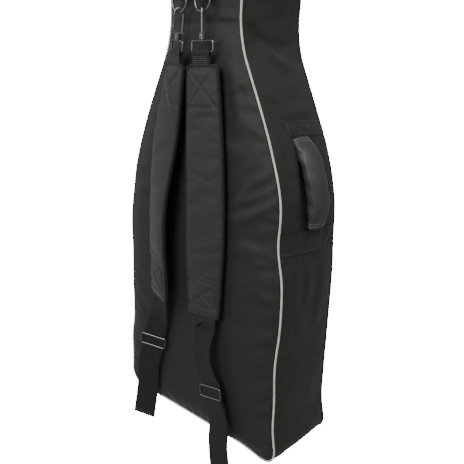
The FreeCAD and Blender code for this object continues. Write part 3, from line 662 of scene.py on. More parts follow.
def thread_look(name, level):
    n = Nodes(name)
    twist = n.noise(1800.0, 2.0)
    return n.set(color=n.blend(twist, grey(level * 0.7), grey(level * 1.3)), rough=0.48, sheen=0.2,
                 specular=0.5, normal=n.bump(twist, 0.4, 0.15 * MM))


def piping_look():
    n = Nodes("pale_piping")
    soil = n.noise(30.0, 5.0, 0.65)
    weave = n.weave(0.8 * MM)
    color = n.blend(n.math("POWER", soil, 1.6), (0.80, 0.78, 0.71), (0.60, 0.58, 0.52))
    folds = n.bump(n.noise(160.0, 2.0), 0.3, 0.8 * MM)
    return n.set(color=color, rough=0.5, sheen=0.1, specular=0.4, normal=n.bump(weave, 0.3, 0.15 * MM, folds))


def leather_look():
    n = Nodes("leatherette")
    cells = n.add("TexVoronoi", {"Vector": n.place, "Scale": 620.0}, feature="DISTANCE_TO_EDGE")
    grain = n.math("MINIMUM", cells.outputs["Distance"], 0.18)
    pores = n.noise(900.0, 2.0)
    height = n.math("ADD", n.math("MULTIPLY", grain, 4.0), n.math("MULTIPLY", pores, 0.3))
    worn = n.noise(22.0, 4.0, 0.6)
    color = n.blend(n.math("ADD", n.math("MULTIPLY", grain, 2.2), n.math("MULTIPLY", worn, 0.4), True),
                    (0.036, 0.034, 0.031), (0.068, 0.065, 0.060))
    soft = n.bump(n.noise(40.0, 3.0), 0.2, 1.2 * MM)
    return n.set(color=color, rough=n.spread(worn, 0.42, 0.54), specular=0.55, coat=0.06, coat_rough=0.4,
                 normal=n.bump(height, 0.35, 0.3 * MM, soft))


def metal_look(name, level, rough):
    n = Nodes(name)
    rub = n.noise(260.0, 5.0, 0.7)
    lines = n.noise(45.0, 3.0)
    color = n.blend(rub, grey(level * 0.8, -0.02), grey(level * 1.25, 0.02))
    return n.set(color=color, metal=1.0, rough=n.spread(lines, rough - 0.07, rough + 0.12),
                 normal=n.bump(rub, 0.12, 0.1 * MM))


def satin_look(name, dark, light, rough):
    n = Nodes(name)
    weave = n.weave(0.45 * MM)
    folds = n.noise(38.0, 3.0, 0.5)
    # the folds noise raises the folds in the bump and also sets the colour: painted shade, darker in the fold
    # hollows and lighter on their crests
    color = n.blend(folds, grey(dark, -0.03), grey(light, -0.03))
    broad = n.bump(folds, 0.5, 1.8 * MM)
    return n.set(color=color, rough=n.spread(folds, rough - 0.06, rough + 0.06), sheen=0.1, specular=0.45,
                 normal=n.bump(weave, 0.15, 0.08 * MM, broad))


def plush_look():
    n = Nodes("plush")
    pile = n.noise(1400.0, 3.0, 0.7)
    nap = n.noise(32.0, 3.0)
    color = n.blend(n.math("ADD", n.math("MULTIPLY", pile, 0.5), n.math("MULTIPLY", nap, 0.5)),
                    grey(0.012), grey(0.045))
    return n.set(color=color, rough=0.85, sheen=0.6, sheen_rough=0.35, specular=0.2,
                 normal=n.bump(pile, 0.7, 0.5 * MM))


def plastic_look(name, level, rough):
    n = Nodes(name)
    marks = n.noise(300.0, 3.0)
    return n.set(color=n.blend(marks, grey(level * 0.8), grey(level * 1.3)),
                 rough=n.spread(marks, rough - 0.06, rough + 0.1), specular=0.5,
                 normal=n.bump(marks, 0.1, 0.1 * MM))


CLOTH = woven_cloth("cover_nylon", 0.0125, 0.0245)
PAD_CLOTH = woven_cloth("pad_nylon", 0.020, 0.034, rough=0.66, sheen=0.2, crumple=0.6)
BAND_CLOTH = woven_cloth("band_nylon", 0.0125, 0.023, crumple=0.7)
WEBBING = woven_tape("strap_webbing", 0.0125, 0.025)
BINDING = woven_tape("dark_binding", 0.008, 0.017, rib=1.3 * MM)
ZIP_TAPE = woven_tape("zipper_tape", 0.007, 0.014, rib=1.0 * MM)
THREAD = thread_look("black_thread", 0.030)
PALE_THREAD = thread_look("grey_thread", 0.085)
GRIP_THREAD = thread_look("light_thread", 0.20)
PAD_TAPE = woven_tape("pad_binding", 0.013, 0.026, rib=1.3 * MM)
PIPING = piping_look()
LEATHER = leather_look()
STEEL = metal_look("dark_nickel", 0.20, 0.26)
BLACK_METAL = metal_look("black_diecast", 0.06, 0.36)
COIL = plastic_look("nylon_coil", 0.014, 0.34)
LINING = satin_look("lining_cloth", 0.012, 0.022, 0.46)
PLUSH = plush_look()


# ------------------------------------------------------------------ padded shell

def edge_fade(distance, reach):
    return 1 - np.exp(-np.maximum(distance, 0) / reach)


def closed_pad(name, outer, inner, materials, wrap=False):
    """Two grids of points joined round their rims; the second material is for the inner grid."""
    rows, cols = outer.shape[:2]
    size = rows * cols
    faces = grid_faces(rows, cols, wrap) + grid_faces(rows, cols, wrap, size, True)
    count = len(faces)
    if wrap:
        loops = [[i * cols for i in range(rows)] + [0],
                 [i * cols + cols - 1 for i in range(rows)] + [cols - 1]]
    else:
        loops = [list(range(cols)) + [i * cols + cols - 1 for i in range(1, rows)]
                 + [(rows - 1) * cols + j for j in range(cols - 2, -1, -1)]
                 + [i * cols for i in range(rows - 2, -1, -1)]]
    loops[0] = loops[0][::-1]
    for loop in loops:
        for a, b in zip(loop, loop[1:]):
            faces.append((a, b, b + size, a + size))
    points = np.concatenate([outer.reshape(-1, 3), inner.reshape(-1, 3)])
    obj = mesh_piece(name, points, faces, materials[0])
    obj.data.materials.append(materials[1])
    slots = np.zeros(len(faces), np.int32)
    slots[count // 2:count] = 1
    obj.data.polygons.foreach_set("material_index", slots)
    fix_normals(obj)
    rim = sorted({i for loop in loops for i in loop})
    return obj, rim, size


def panel_places(inset):
    """Rows and columns of a panel cut to the outline: x, z and distance from the edge."""
    quarter = math.pi / 2
    bottom = CORNER_RADIUS - (CORNER_RADIUS - inset) * np.cos(np.linspace(0, quarter, 8))
    top = LENGTH - HEAD_RADIUS + (HEAD_RADIUS - inset) * np.sin(np.linspace(0, quarter, 9))
    straight = LENGTH - CORNER_RADIUS - HEAD_RADIUS
    middle = np.linspace(CORNER_RADIUS, LENGTH - HEAD_RADIUS, int(straight / PANEL_STEP))
    z = np.concatenate([bottom, middle[1:-1], top])
    close = 1 - np.array([1.4, 3.4]) * MM / HALF
    share = np.unique(np.concatenate([np.linspace(-1, 1, int(2 * HALF / PANEL_STEP)), close, -close]))
    wide = half_width(z, inset)
    wide[0] = half_width(inset + 1e-6, inset)
    x = wide[:, None] * share[None]
    zz = np.repeat(z[:, None], len(share), 1)
    away = np.minimum(wide[:, None] - np.abs(x), np.minimum(zz - inset, LENGTH - inset - zz))
    return x, zz, np.maximum(away, 0)


def lining_grid(inset, y, dimple, waves, phase=0):
    """Points of a panel's lining at a depth, with soft dimples."""
    x, z, away = panel_places(inset)
    dimples = dimple * np.sin(x * waves[0] + phase) * np.sin(z * waves[1]) * edge_fade(away, 15 * MM)
    return on_bag(x, y + dimples, z)


def side_puckers(seed, count, z_range, reach, depth, width):
    """Folds that run in from the side seams of a panel."""
    def start(draw):
        z = draw.uniform(*z_range)
        side = draw.choice((-1, 1))
        x = side * (half_width(z, 0) - 4 * MM)
        lean = draw.uniform(-0.75, 0.35)
        return (x, z), (math.pi - lean if side > 0 else lean)
    return random_creases(seed, count, start, reach, depth, width)


# folds beside the right strap and at the neck: points (x, z), depth and width in mm
BACK_CREASES = in_mm([
    ([(0.062, 0.357), (0.079, 0.353), (0.106, 0.363), (0.131, 0.378), (0.150, 0.394)], 4.8, 7),
    ([(0.100, 0.380), (0.115, 0.388), (0.129, 0.398), (0.147, 0.408)], 3.8, 6),
    ([(0.096, 0.396), (0.115, 0.415), (0.141, 0.429)], 3.4, 7),
    ([(0.113, 0.430), (0.137, 0.438)], 1.2, 5),
    ([(0.069, 0.366), (0.086, 0.382), (0.102, 0.398)], 3.2, 10),
    ([(0.112, 0.330), (0.122, 0.302), (0.132, 0.270)], 1.8, 10),
    ([(0.060, 0.300), (0.100, 0.318), (0.146, 0.316)], 2.8, 8),
    ([(-0.020, 0.215), (0.040, 0.190), (0.110, 0.182)], 1.8, 13),
    ([(-0.070, 0.090), (0.000, 0.070), (0.080, 0.078)], 1.6, 14),
    ([(-0.140, 0.160), (-0.110, 0.120), (-0.100, 0.060)], 1.8, 12),
    ([(0.086, 0.470), (0.070, 0.520), (0.060, 0.570)], 1.5, 9),
    ([(0.040, 0.480), (0.060, 0.450), (0.100, 0.446)], 1.6, 9),
])
NECK_SEAM_HEIGHT = 611 * MM


def make_back_panel():
    x, z, away = panel_places(2.2 * MM)
    folds = BACK_CREASES + side_puckers(11, 34, (0.05, 0.60), (0.025, 0.07), (0.6 * MM, 1.5 * MM),
                                        (4 * MM, 8 * MM))
    folds += side_puckers(12, 20, (0.62, 0.98), (0.015, 0.05), (0.5 * MM, 1.2 * MM), (4 * MM, 7 * MM))
    height = 3.4 * MM * edge_fade(away, 1.8 * MM) + 2.0 * MM * edge_fade(away, 24 * MM)
    height += crease_height(x, z, folds) * edge_fade(away, 5 * MM)
    outer = on_bag(x, 0.8 * MM - height, z)
    inner = lining_grid(WALL - 2 * MM, WALL - 0.3 * MM, 0.8 * MM, (60, 38))
    rows = min(len(outer), len(inner))
    panel, rim, size = closed_pad("back_panel", outer[:rows], inner[:rows], (CLOTH, LINING))
    inflate(panel, rim + list(range(size, 2 * size)), 3.0, 4.5 * MM, 0.012)
    subdivide(panel)
    seam_half = half_width(NECK_SEAM_HEIGHT, 3 * MM)
    seam = place([[side * seam_half, -8 * MM, NECK_SEAM_HEIGHT] for side in (-1, 1)])
    press(panel, [seam], 1.6 * MM, 3 * MM, (0, 1, 0))
    fit(panel, "bag", "cover_cloth", "back_panel_cover", "back_panel_foam", "back_panel_lining", fill=0.7)
    return panel


def gusset_run(z):
    """Distance along the outline to a height on the right side."""
    points, _ = right_side(0)
    return np.interp(z, points[1:-1, 1], run_along(points)[1:-1])


# folds on the wall beside the handle: points (height, depth), then depth and width in mm
WALL_CREASES = in_mm([
    ([(0.346, 0.027), (0.400, 0.031), (0.450, 0.037), (0.486, 0.040)], 6.0, 9),
    ([(0.348, 0.012), (0.347, 0.028), (0.343, 0.044)], 2.4, 5),
    ([(0.312, 0.036), (0.308, 0.055), (0.318, 0.078)], 2.6, 6),
    ([(0.310, 0.014), (0.290, 0.010), (0.262, 0.009)], 2.0, 5),
    ([(0.308, 0.034), (0.288, 0.029), (0.266, 0.024)], 2.4, 6),
    ([(0.306, 0.060), (0.270, 0.056), (0.225, 0.050)], 2.2, 9),
    ([(0.300, 0.095), (0.250, 0.088), (0.190, 0.080)], 2.0, 11),
    ([(0.250, 0.022), (0.215, 0.036), (0.178, 0.054)], 1.8, 10),
    ([(0.568, 0.008), (0.545, 0.014), (0.520, 0.022), (0.500, 0.040)], 3.0, 9),
    ([(0.600, 0.030), (0.570, 0.050), (0.552, 0.080)], 2.6, 9),
    ([(0.640, 0.010), (0.606, 0.030), (0.590, 0.060)], 2.4, 10),
    ([(0.548, 0.100), (0.530, 0.070), (0.522, 0.050)], 2.4, 8),
    ([(0.500, 0.010), (0.494, 0.050), (0.500, 0.100)], 2.0, 7),
    ([(0.120, 0.020), (0.085, 0.060), (0.070, 0.100)], 1.8, 13),
    ([(0.060, 0.012), (0.045, 0.050), (0.050, 0.090)], 1.6, 9),
])


def make_gusset():
    outer_flat, outer_normal = outline(0)
    inner_flat, inner_normal = outline(WALL)
    depths = np.linspace(0.8 * MM, DEPTH - 1.2 * MM, 20)
    steps = np.linalg.norm(np.roll(outer_flat, -1, axis=0) - outer_flat, axis=1)
    run = np.concatenate([[0], np.cumsum(steps)[:-1]])
    whole = steps.sum()
    u, v = np.meshgrid(run, depths, indexing="ij")
    folds = []
    for points, depth, width in WALL_CREASES:
        folds.append(([(gusset_run(z), y) for z, y in points], depth, width))
        mirrored = [(whole - gusset_run(z + 0.012), y) for z, y in points]
        folds.append((mirrored, depth * 0.6, width * 1.1))

    def from_seam(draw):
        near = draw.random() < 0.6
        lean = draw.uniform(-0.9, 0.9)
        spot = (draw.uniform(0.02, whole - 0.02), 3 * MM if near else DEPTH - 3 * MM)
        return spot, (math.pi / 2 + lean if near else -math.pi / 2 + lean)

    folds += random_creases(21, 90, from_seam, (0.02, 0.06), (0.6 * MM, 1.6 * MM), (4 * MM, 8 * MM))
    away = np.minimum(v, DEPTH - v)
    height = (2.2 * MM * edge_fade(away, 16 * MM) + crease_height(u, v, folds)) * edge_fade(away, 5 * MM)
    outer = outer_flat[:, None] + outer_normal[:, None] * height[..., None]
    wrinkle = 0.6 * MM * np.sin(u * 90 + v * 40)
    inner = inner_flat[:, None] + inner_normal[:, None] * wrinkle[..., None]
    outer = on_bag(outer[..., 0], v, outer[..., 1])
    inner = on_bag(inner[..., 0], np.clip(v, WALL, DEPTH - 3 * MM), inner[..., 1])
    wall, rim, size = closed_pad("gusset", outer, inner, (CLOTH, LINING), wrap=True)
    inflate(wall, rim + list(range(size, 2 * size)), 3.0, 4 * MM, 0.012)
    subdivide(wall)
    fit(wall, "bag", "cover_cloth", "gusset_cover", "gusset_lining", "gusset_foam_bottom",
        "gusset_foam_right", "gusset_foam_left", "gusset_foam_head", fill=0.7)
    return wall


def make_edge_cords():
    """Pale piping at the back edge, dark binding at the front edge."""
    for name, y, radius, material, slot, node in (
            ("back_piping_cord", 0.4 * MM, 1.5 * MM, PIPING, "piping_light", "back_piping"),
            ("front_binding_tape", DEPTH, 1.6 * MM, BINDING, "binding_dark", "front_binding")):
        flat, normal = outline(0.4 * MM, 900)
        tucked = smooth_step(-flat[:, 0], 40 * MM, 90 * MM) * smooth_step(flat[:, 1], 90 * MM, 150 * MM)
        hidden = 3.4 * MM * tucked if node == "back_piping" else 0
        centre = place(sag(in_depth(flat - normal * (0.9 * MM * tucked)[:, None], y + hidden)))
        along = np.arange(len(flat))
        swell = 1 + 0.035 * np.sin(along * 0.37) + 0.03 * np.sin(along * 0.91 + 1)
        up = np.tile([0.0, 1.0, 0.0], (len(flat), 1))
        cord = sweep(name, centre, in_depth(normal, 0.0), up, circle(radius, 10), material, True,
                     np.stack([swell, swell], 1))
        fit(cord, "bag", slot, node)


# ------------------------------------------------------------------ side handle

HANDLE_HIGH = 474 * MM
GRIP_STAND = 21 * MM
GRIP_TURN = math.radians(57)
GRIP_WIDTH = 41 * MM
GRIP_THICK = 21 * MM
GRIP_SQUARENESS = 2.5
GRIP_RINGS, GRIP_SIDES = 56, 36
FLANGE_AT = math.radians(84)
CORE_WIDTH = 29 * MM
CORE_THICK = 3.0 * MM
GRIP_CLEAR = 6 * MM
GRIP_DRIFT = 7 * MM


def catmull(points, count):
    """A smooth line through the points."""
    p = np.asarray(points, float)
    p = np.concatenate([2 * p[:1] - p[1:2], p, 2 * p[-1:] - p[-2:-1]])
    spans = len(p) - 3
    found = []
    for value in np.linspace(0, spans - 1e-9, count):
        i = int(value)
        t = value - i
        a, b, c, d = p[i:i + 4]
        found.append(0.5 * (2 * b + (c - a) * t + (2 * a - 5 * b + 4 * c - d) * t * t
                            + (3 * b - a - 3 * c + d) * t ** 3))
    return np.array(found)


def along_path(centre, across):
    """Side and up directions for a ribbon that follows centre and is as wide as across."""
    tangent = unit(np.gradient(centre, axis=0))
    side = np.broadcast_to(unit(across), centre.shape)
    side = unit(side - (side * tangent).sum(1, keepdims=True) * tangent)
    return side, np.cross(tangent, side)


def lay_tape(name, line, across, width, thick, material, count=6):
    """Woven tape of a width and thickness along a line, lying as wide as across."""
    return sweep(name, line, *along_path(line, across), ribbon(width, thick, across=count), material)


class Handle:
    """The arc of the grip, from the joint that the handle flops about."""

    def __init__(self):
        joint = JOINTS["handle_flop"]
        low, up = np.array(joint["pos_m"]), unit(joint["axis"])
        self.pose = Pose(low, (1, 0, 0), up)
        self.chord = (UNDER + HANDLE_HIGH - low[2]) / up[2]
        self.radius = ((self.chord / 2) ** 2 + GRIP_STAND ** 2) / (2 * GRIP_STAND)
        self.reach = math.asin(self.chord / 2 / self.radius)
        self.high = low + up * self.chord - np.array([0, GRIP_DRIFT, 0])
        self.low = low

    def arc(self, angles):
        """Points of the arc and the direction out of the bag at each."""
        out = np.stack([np.cos(angles), np.zeros(len(angles)), np.sin(angles)], 1)
        centre = np.array([GRIP_STAND - self.radius, 0, self.chord / 2])
        points = self.pose.at(centre + out * self.radius)
        # the upper end lies nearer to the back, and the soft ends rest on the wall
        points[:, 1] -= GRIP_DRIFT * smooth_step(angles, -0.8 * self.reach, 0.15 * self.reach)
        soft_end = smooth_step(self.reach - np.abs(angles), 0, math.radians(4))
        need = half_width(points[:, 2] - UNDER, 0) + GRIP_CLEAR * soft_end
        points[:, 0] = need + 1.5 * MM * np.logaddexp(0, (points[:, 0] - need) / (1.5 * MM))
        return points, unit(self.pose.at(out) - self.pose.origin)


def make_grip(handle):
    rings, sides = GRIP_RINGS, GRIP_SIDES
    angles = np.linspace(-GRIP_TURN / 2, GRIP_TURN / 2, rings)
    centre, out = handle.arc(angles)
    depth = np.broadcast_to(handle.pose.depth, centre.shape)
    from_end = (GRIP_TURN / 2 - np.abs(angles)) * handle.radius
    full = smooth_step(from_end, 3 * MM, 30 * MM)
    turns = turns_round(sides)
    away = np.abs((turns - FLANGE_AT + math.pi) % (2 * math.pi) - math.pi)
    power = GRIP_SQUARENESS
    round_off = 1 / (np.abs(np.cos(turns)) ** power + np.abs(np.sin(turns)) ** power) ** (1 / power)
    radial = (np.cos(turns) * round_off)[None] * (0.42 + 0.58 * full)[:, None] * GRIP_THICK / 2
    sideways = (np.sin(turns) * round_off)[None] * (0.88 + 0.12 * full)[:, None] * GRIP_WIDTH / 2
    lip = 0.16 * np.exp(-(away / 0.13) ** 2) - 0.06 * np.exp(-((away - 0.36) / 0.16) ** 2)
    ripple = 0.018 * np.sin(angles[:, None] * 34 + np.cos(turns)[None] * 2) * full[:, None]
    size = 1 + lip[None] + ripple
    points = (centre[:, None] + (radial * size)[..., None] * out[:, None]
              + (sideways * size)[..., None] * depth[:, None])
    faces = tube_faces(rings, sides, caps=False)
    flat = points.reshape(-1, 3)
    for row in (0, rings - 1):
        inner = centre[row] + (points[row] - centre[row]) * 0.55
        first, start = row * sides, len(flat)
        flat = np.concatenate([flat, inner])
        for j in range(sides):
            k = (j + 1) % sides
            faces.append((first + j, first + k, start + k, start + j))
        faces.append(tuple(range(start, start + sides)))
    grip = mesh_piece("handle_grip_cover", flat, faces, LEATHER)
    face_outward(grip)
    held = [i * sides + j for i in range(rings) for j in range(sides)
            if i < 5 or i > rings - 6 or away[j] < 0.25] + list(range(rings * sides, len(flat)))
    inflate(grip, held, 4.0, 1.6 * MM, 0.012)
    subdivide(grip)
    tree = tree_of(grip)
    rows = []
    for sign in (-1, 1):
        for inset in (4.5 * MM, 8.5 * MM):
            angle = sign * (GRIP_TURN / 2 - inset / handle.radius)
            (spot,), (facing,) = handle.arc(np.array([angle]))
            ring = np.linspace(0, 2 * math.pi, 60)[:, None]
            spokes = np.cos(ring) * facing + np.sin(ring) * handle.pose.depth
            starts = spot + np.sin(ring) * handle.pose.depth * GRIP_WIDTH * 0.38
            rows.append(onto(tree, starts + spokes * 20 * MM, -spokes, reach=40 * MM))
    line, line_out = handle.arc(np.linspace(-GRIP_TURN / 2 * 0.86, GRIP_TURN / 2 * 0.86, 80))
    seam_at = FLANGE_AT - 0.3
    toward = unit(math.cos(seam_at) * line_out + math.sin(seam_at) * handle.pose.depth)
    rows.append(onto(tree, line + toward * 30 * MM, -toward, reach=50 * MM))
    seam = stitches("handle_grip_stitching", rows, GRIP_THREAD, pitch=3.2 * MM, thick=0.6 * MM)
    fit(grip, "handle", "grip_leather", "handle_grip", fill=0.85)
    fit(seam, "handle", "grip_leather")


def make_core(handle):
    arc, _ = handle.arc(np.linspace(-handle.reach * 0.96, handle.reach * 0.96, 9))
    up_wall = np.array([-math.sin(SHOULDER_LEAN), 0, math.cos(SHOULDER_LEAN)])
    inward = np.array([-1.0, 0, 0])
    low_tail = [handle.low + np.array([-3.5 * MM, 0, -20 * MM]),
                handle.low + np.array([-2.5 * MM, 0, -7 * MM])]
    high_tail = [handle.high + up_wall * 5 * MM + inward * 1.5 * MM,
                 handle.high + up_wall * 13 * MM + inward * 3 * MM]
    line = catmull(np.array(low_tail + list(arc) + high_tail), 60)
    core = lay_tape("handle_core_webbing", line, handle.pose.depth, CORE_WIDTH, CORE_THICK, WEBBING)
    fit(core, "handle", "webbing", "handle_core")


def wall_places(z, y):
    """Places on the right wall's cut surface, and the way out of it, for heights and depths."""
    points, normals = right_side(0)
    nx, nz = (np.interp(z, points[1:-1, 1], normals[1:-1, k]) for k in (0, 1))
    return on_bag(half_width(z, 0), y, z), unit(np.stack([nx, np.zeros_like(nx), nz], -1))


def make_band(name, node, tree, centre_z, width, first_y, folds, boxes):
    """A reinforcing band over the wall, under which the handle's webbing is sewn."""
    rows, cols = 13, 60
    z = np.linspace(centre_z - width / 2, centre_z + width / 2, rows)
    y = np.linspace(first_y, DEPTH - 1.8 * MM, cols)
    zz, yy = np.meshgrid(z, y, indexing="ij")
    spots, out = wall_places(zz, yy)
    base, _ = onto(tree, spots.reshape(-1, 3), -out.reshape(-1, 3))
    base = base.reshape(rows, cols, 3)
    edge = np.minimum(zz - z[0], z[-1] - zz)
    hem = 0.5 * MM * (1 - smooth_step(edge, 1 * MM, 4 * MM))
    lump = 2.6 * MM * np.exp(-((yy - 66 * MM) / (18 * MM)) ** 4)
    height = 0.9 * MM + hem + lump + crease_height(zz, yy, folds) * edge_fade(edge + 1 * MM, 3 * MM)
    outer = base + out * height[..., None]
    inner = base - out * 0.6 * MM
    band, _, _ = closed_pad(name, outer, inner, (BAND_CLOTH, BAND_CLOTH))
    subdivide(band)
    fit(band, "bag", "cover_cloth", node)
    band_tree = tree_of(band)
    lines = []
    for (z0, z1), (y0, y1) in boxes:
        box = boxed_cross([(z0, y0), (z0, y1), (z1, y1), (z1, y0)])
        lines += box if y1 - y0 < 40 * MM else box[:1]
    paths = []
    for line in lines:
        line = np.array(line)
        run = run_along(line)
        at = np.linspace(0, run[-1], int(run[-1] / (2 * MM)) + 2)
        places, facing = wall_places(*at_run(at, run, line).T)
        paths.append(onto(band_tree, places, -facing))
    fit(stitches(name + "_stitching", paths, THREAD), "bag", "cover_cloth")


def make_handle(wall):
    handle = Handle()
    make_grip(handle)
    make_core(handle)
    tree = tree_of(wall)
    make_band("handle_band_lower", "handle_lower_band", tree, 327 * MM, 30 * MM, 2.6 * MM,
              [([(0.346, 0.012), (0.345, 0.028), (0.340, 0.046)], 1.8 * MM, 4 * MM),
               ([(0.315, 0.030), (0.330, 0.040), (0.341, 0.043)], 1.2 * MM, 4 * MM),
               ([(0.313, 0.088), (0.325, 0.104), (0.338, 0.110)], 1.2 * MM, 5 * MM)],
              [((0.3145, 0.3385), (5 * MM, 23 * MM)), ((0.3145, 0.3385), (50 * MM, 82 * MM)),
               ((0.3140, 0.3395), (25.5 * MM, DEPTH - 4 * MM))])
    make_band("handle_band_upper", "handle_upper_band", tree, 476 * MM, 21 * MM, 33 * MM,
              [([(0.466, 0.034), (0.474, 0.038), (0.486, 0.036)], 2.6 * MM, 4 * MM),
               ([(0.468, 0.046), (0.476, 0.052), (0.486, 0.056)], 1.4 * MM, 4 * MM)],
              [((0.4685, 0.4835), (52 * MM, 80 * MM)), ((0.4680, 0.4840), (40 * MM, DEPTH - 4 * MM))])


# ------------------------------------------------------------------ shoulder straps

PAD_TOP = 18 * MM
PAD_LENGTH = 356 * MM
PAD_WIDTHS = ((0, 0.3, 0.55, 0.72, 1), (48 * MM, 59 * MM, 63 * MM, 63 * MM, 54 * MM))
PAD_CORNER = 2.5 * MM
PAD_CROWN = 5.2 * MM
PAD_RIM = 2.6 * MM
PAD_ROWS, PAD_COLUMNS = 84, 19
UPPER_WEB = 28 * MM
LOWER_WEB = 38 * MM
WEB_THICK = 1.7 * MM
RETURN_THICK = 1.25 * MM
TAB_WIDTH, TAB_THICK = 19 * MM, 1.5 * MM
STRAPS = {
    "right": dict(bow=3.5 * MM, pad_twist=0, pad_turn=0, bulge=0, web_shift=-2 * MM, end_turn=1,
                  end_lean=-10, glide_drop=121 * MM, loop=141 * MM, twist=-6, slack=-9 * MM,
                  start=5 * MM, tail=8 * MM),
    "left": dict(bow=-13 * MM, pad_twist=14, pad_turn=8, bulge=3.5 * MM, web_shift=0, end_turn=26,
                 end_lean=9.8, glide_drop=84 * MM, loop=154 * MM, twist=8, slack=3 * MM,
                 start=3 * MM, tail=-3 * MM),
}


def pad_half(share, inset=0.0):
    """Half width of the shoulder pad at a share of its length, with rounded ends."""
    half = np.interp(share, *PAD_WIDTHS) / 2
    from_end = np.minimum(share, 1 - share) * PAD_LENGTH
    short = np.clip(PAD_CORNER - from_end, 0, PAD_CORNER)
    return half - (PAD_CORNER - np.sqrt(PAD_CORNER ** 2 - short ** 2)) - inset


def strap_poses(side):
    """The frames of the pad and of the adjustable end, from the record's joints."""
    lift = JOINTS["strap_%s_lift" % side]
    up = JOINTS["swivel_%s_turn" % side]["axis"]
    pad = Pose(lift["pos_m"], -np.array(lift["axis"]), up)
    facts = STRAPS[side]
    turn, lean = math.radians(facts["end_turn"]), math.radians(facts["end_lean"])
    across = (math.cos(turn) * math.cos(lean), math.sin(turn), -math.cos(turn) * math.sin(lean))
    end = Pose(JOINTS["strap_end_%s_bend" % side]["pos_m"], across,
               JOINTS["glide_%s_adjust" % side]["axis"])
    return pad, end


def pad_point(facts, across, depth, down):
    """A point of the pad in its own frame; it bows and twists a little on its way down."""
    share = np.clip((down - PAD_TOP) / PAD_LENGTH, 0, 1)
    shift = facts["bow"] * np.sin(math.pi * share)
    high = facts["pad_twist"] * np.sin(math.pi * share) * np.exp(-((share - 0.12) / 0.3) ** 2)
    low = facts["pad_turn"] * np.exp(-((share - 0.62) / 0.24) ** 2)
    turn = np.radians(high - low)
    x = across * np.cos(turn) - depth * np.sin(turn) + shift
    y = across * np.sin(turn) + depth * np.cos(turn) - PAD_WIDTHS[1][2] / 2 * np.sin(np.radians(low))
    y = y - facts["bulge"] * np.sin(math.pi * share)
    return np.stack(np.broadcast_arrays(x, y, -down), -1)


def pad_lines(side):
    """Sewn lines of a pad: pairs (across, down) in its own frame."""
    top, low = PAD_TOP, PAD_TOP + PAD_LENGTH
    edge = 3.5 * MM

    def reach(down):
        return float(pad_half(np.array((down - PAD_TOP) / PAD_LENGTH))) - edge

    box_high, box_low = top + 3.5 * MM, top + 54 * MM
    lean = 5 * MM if side == "right" else -3 * MM
    patch, cross_high, cross_low = low - 62 * MM, low - 56 * MM, low - 15 * MM
    lines = [
        [(-reach(box_high), box_high), (reach(box_high), box_high)],
        [(-reach(box_low), box_low), (reach(box_low), box_low)],
        [(-reach(box_high), box_high), (reach(box_low), box_low)],
        [(reach(box_high), box_high), (-reach(box_low), box_low)],
        [(-reach(patch), patch - lean), (reach(patch), patch + lean)],
    ]
    half_high, half_low = reach(cross_high) - 1 * MM, reach(cross_low) - 1 * MM
    corners = [(-half_high, cross_high - lean * 0.6), (half_high, cross_high + lean * 0.6),
               (half_low, cross_low), (-half_low, cross_low)]
    return lines + boxed_cross(corners)


PAD_CREASES = {
    "right": [([(-0.030, 0.262), (-0.008, 0.268), (0.028, 0.262)], 0.7 * MM, 8 * MM),
              ([(-0.020, 0.150), (0.010, 0.158), (0.028, 0.150)], 0.4 * MM, 9 * MM)],
    "left": [([(-0.022, 0.020), (-0.010, 0.040), (0.004, 0.062), (0.020, 0.090)], 1.6 * MM, 6 * MM),
             ([(-0.026, 0.088), (-0.004, 0.096), (0.024, 0.104)], 1.5 * MM, 5 * MM),
             ([(-0.015, 0.110), (-0.019, 0.170), (-0.019, 0.230), (-0.015, 0.290)], 1.2 * MM, 5 * MM)],
}


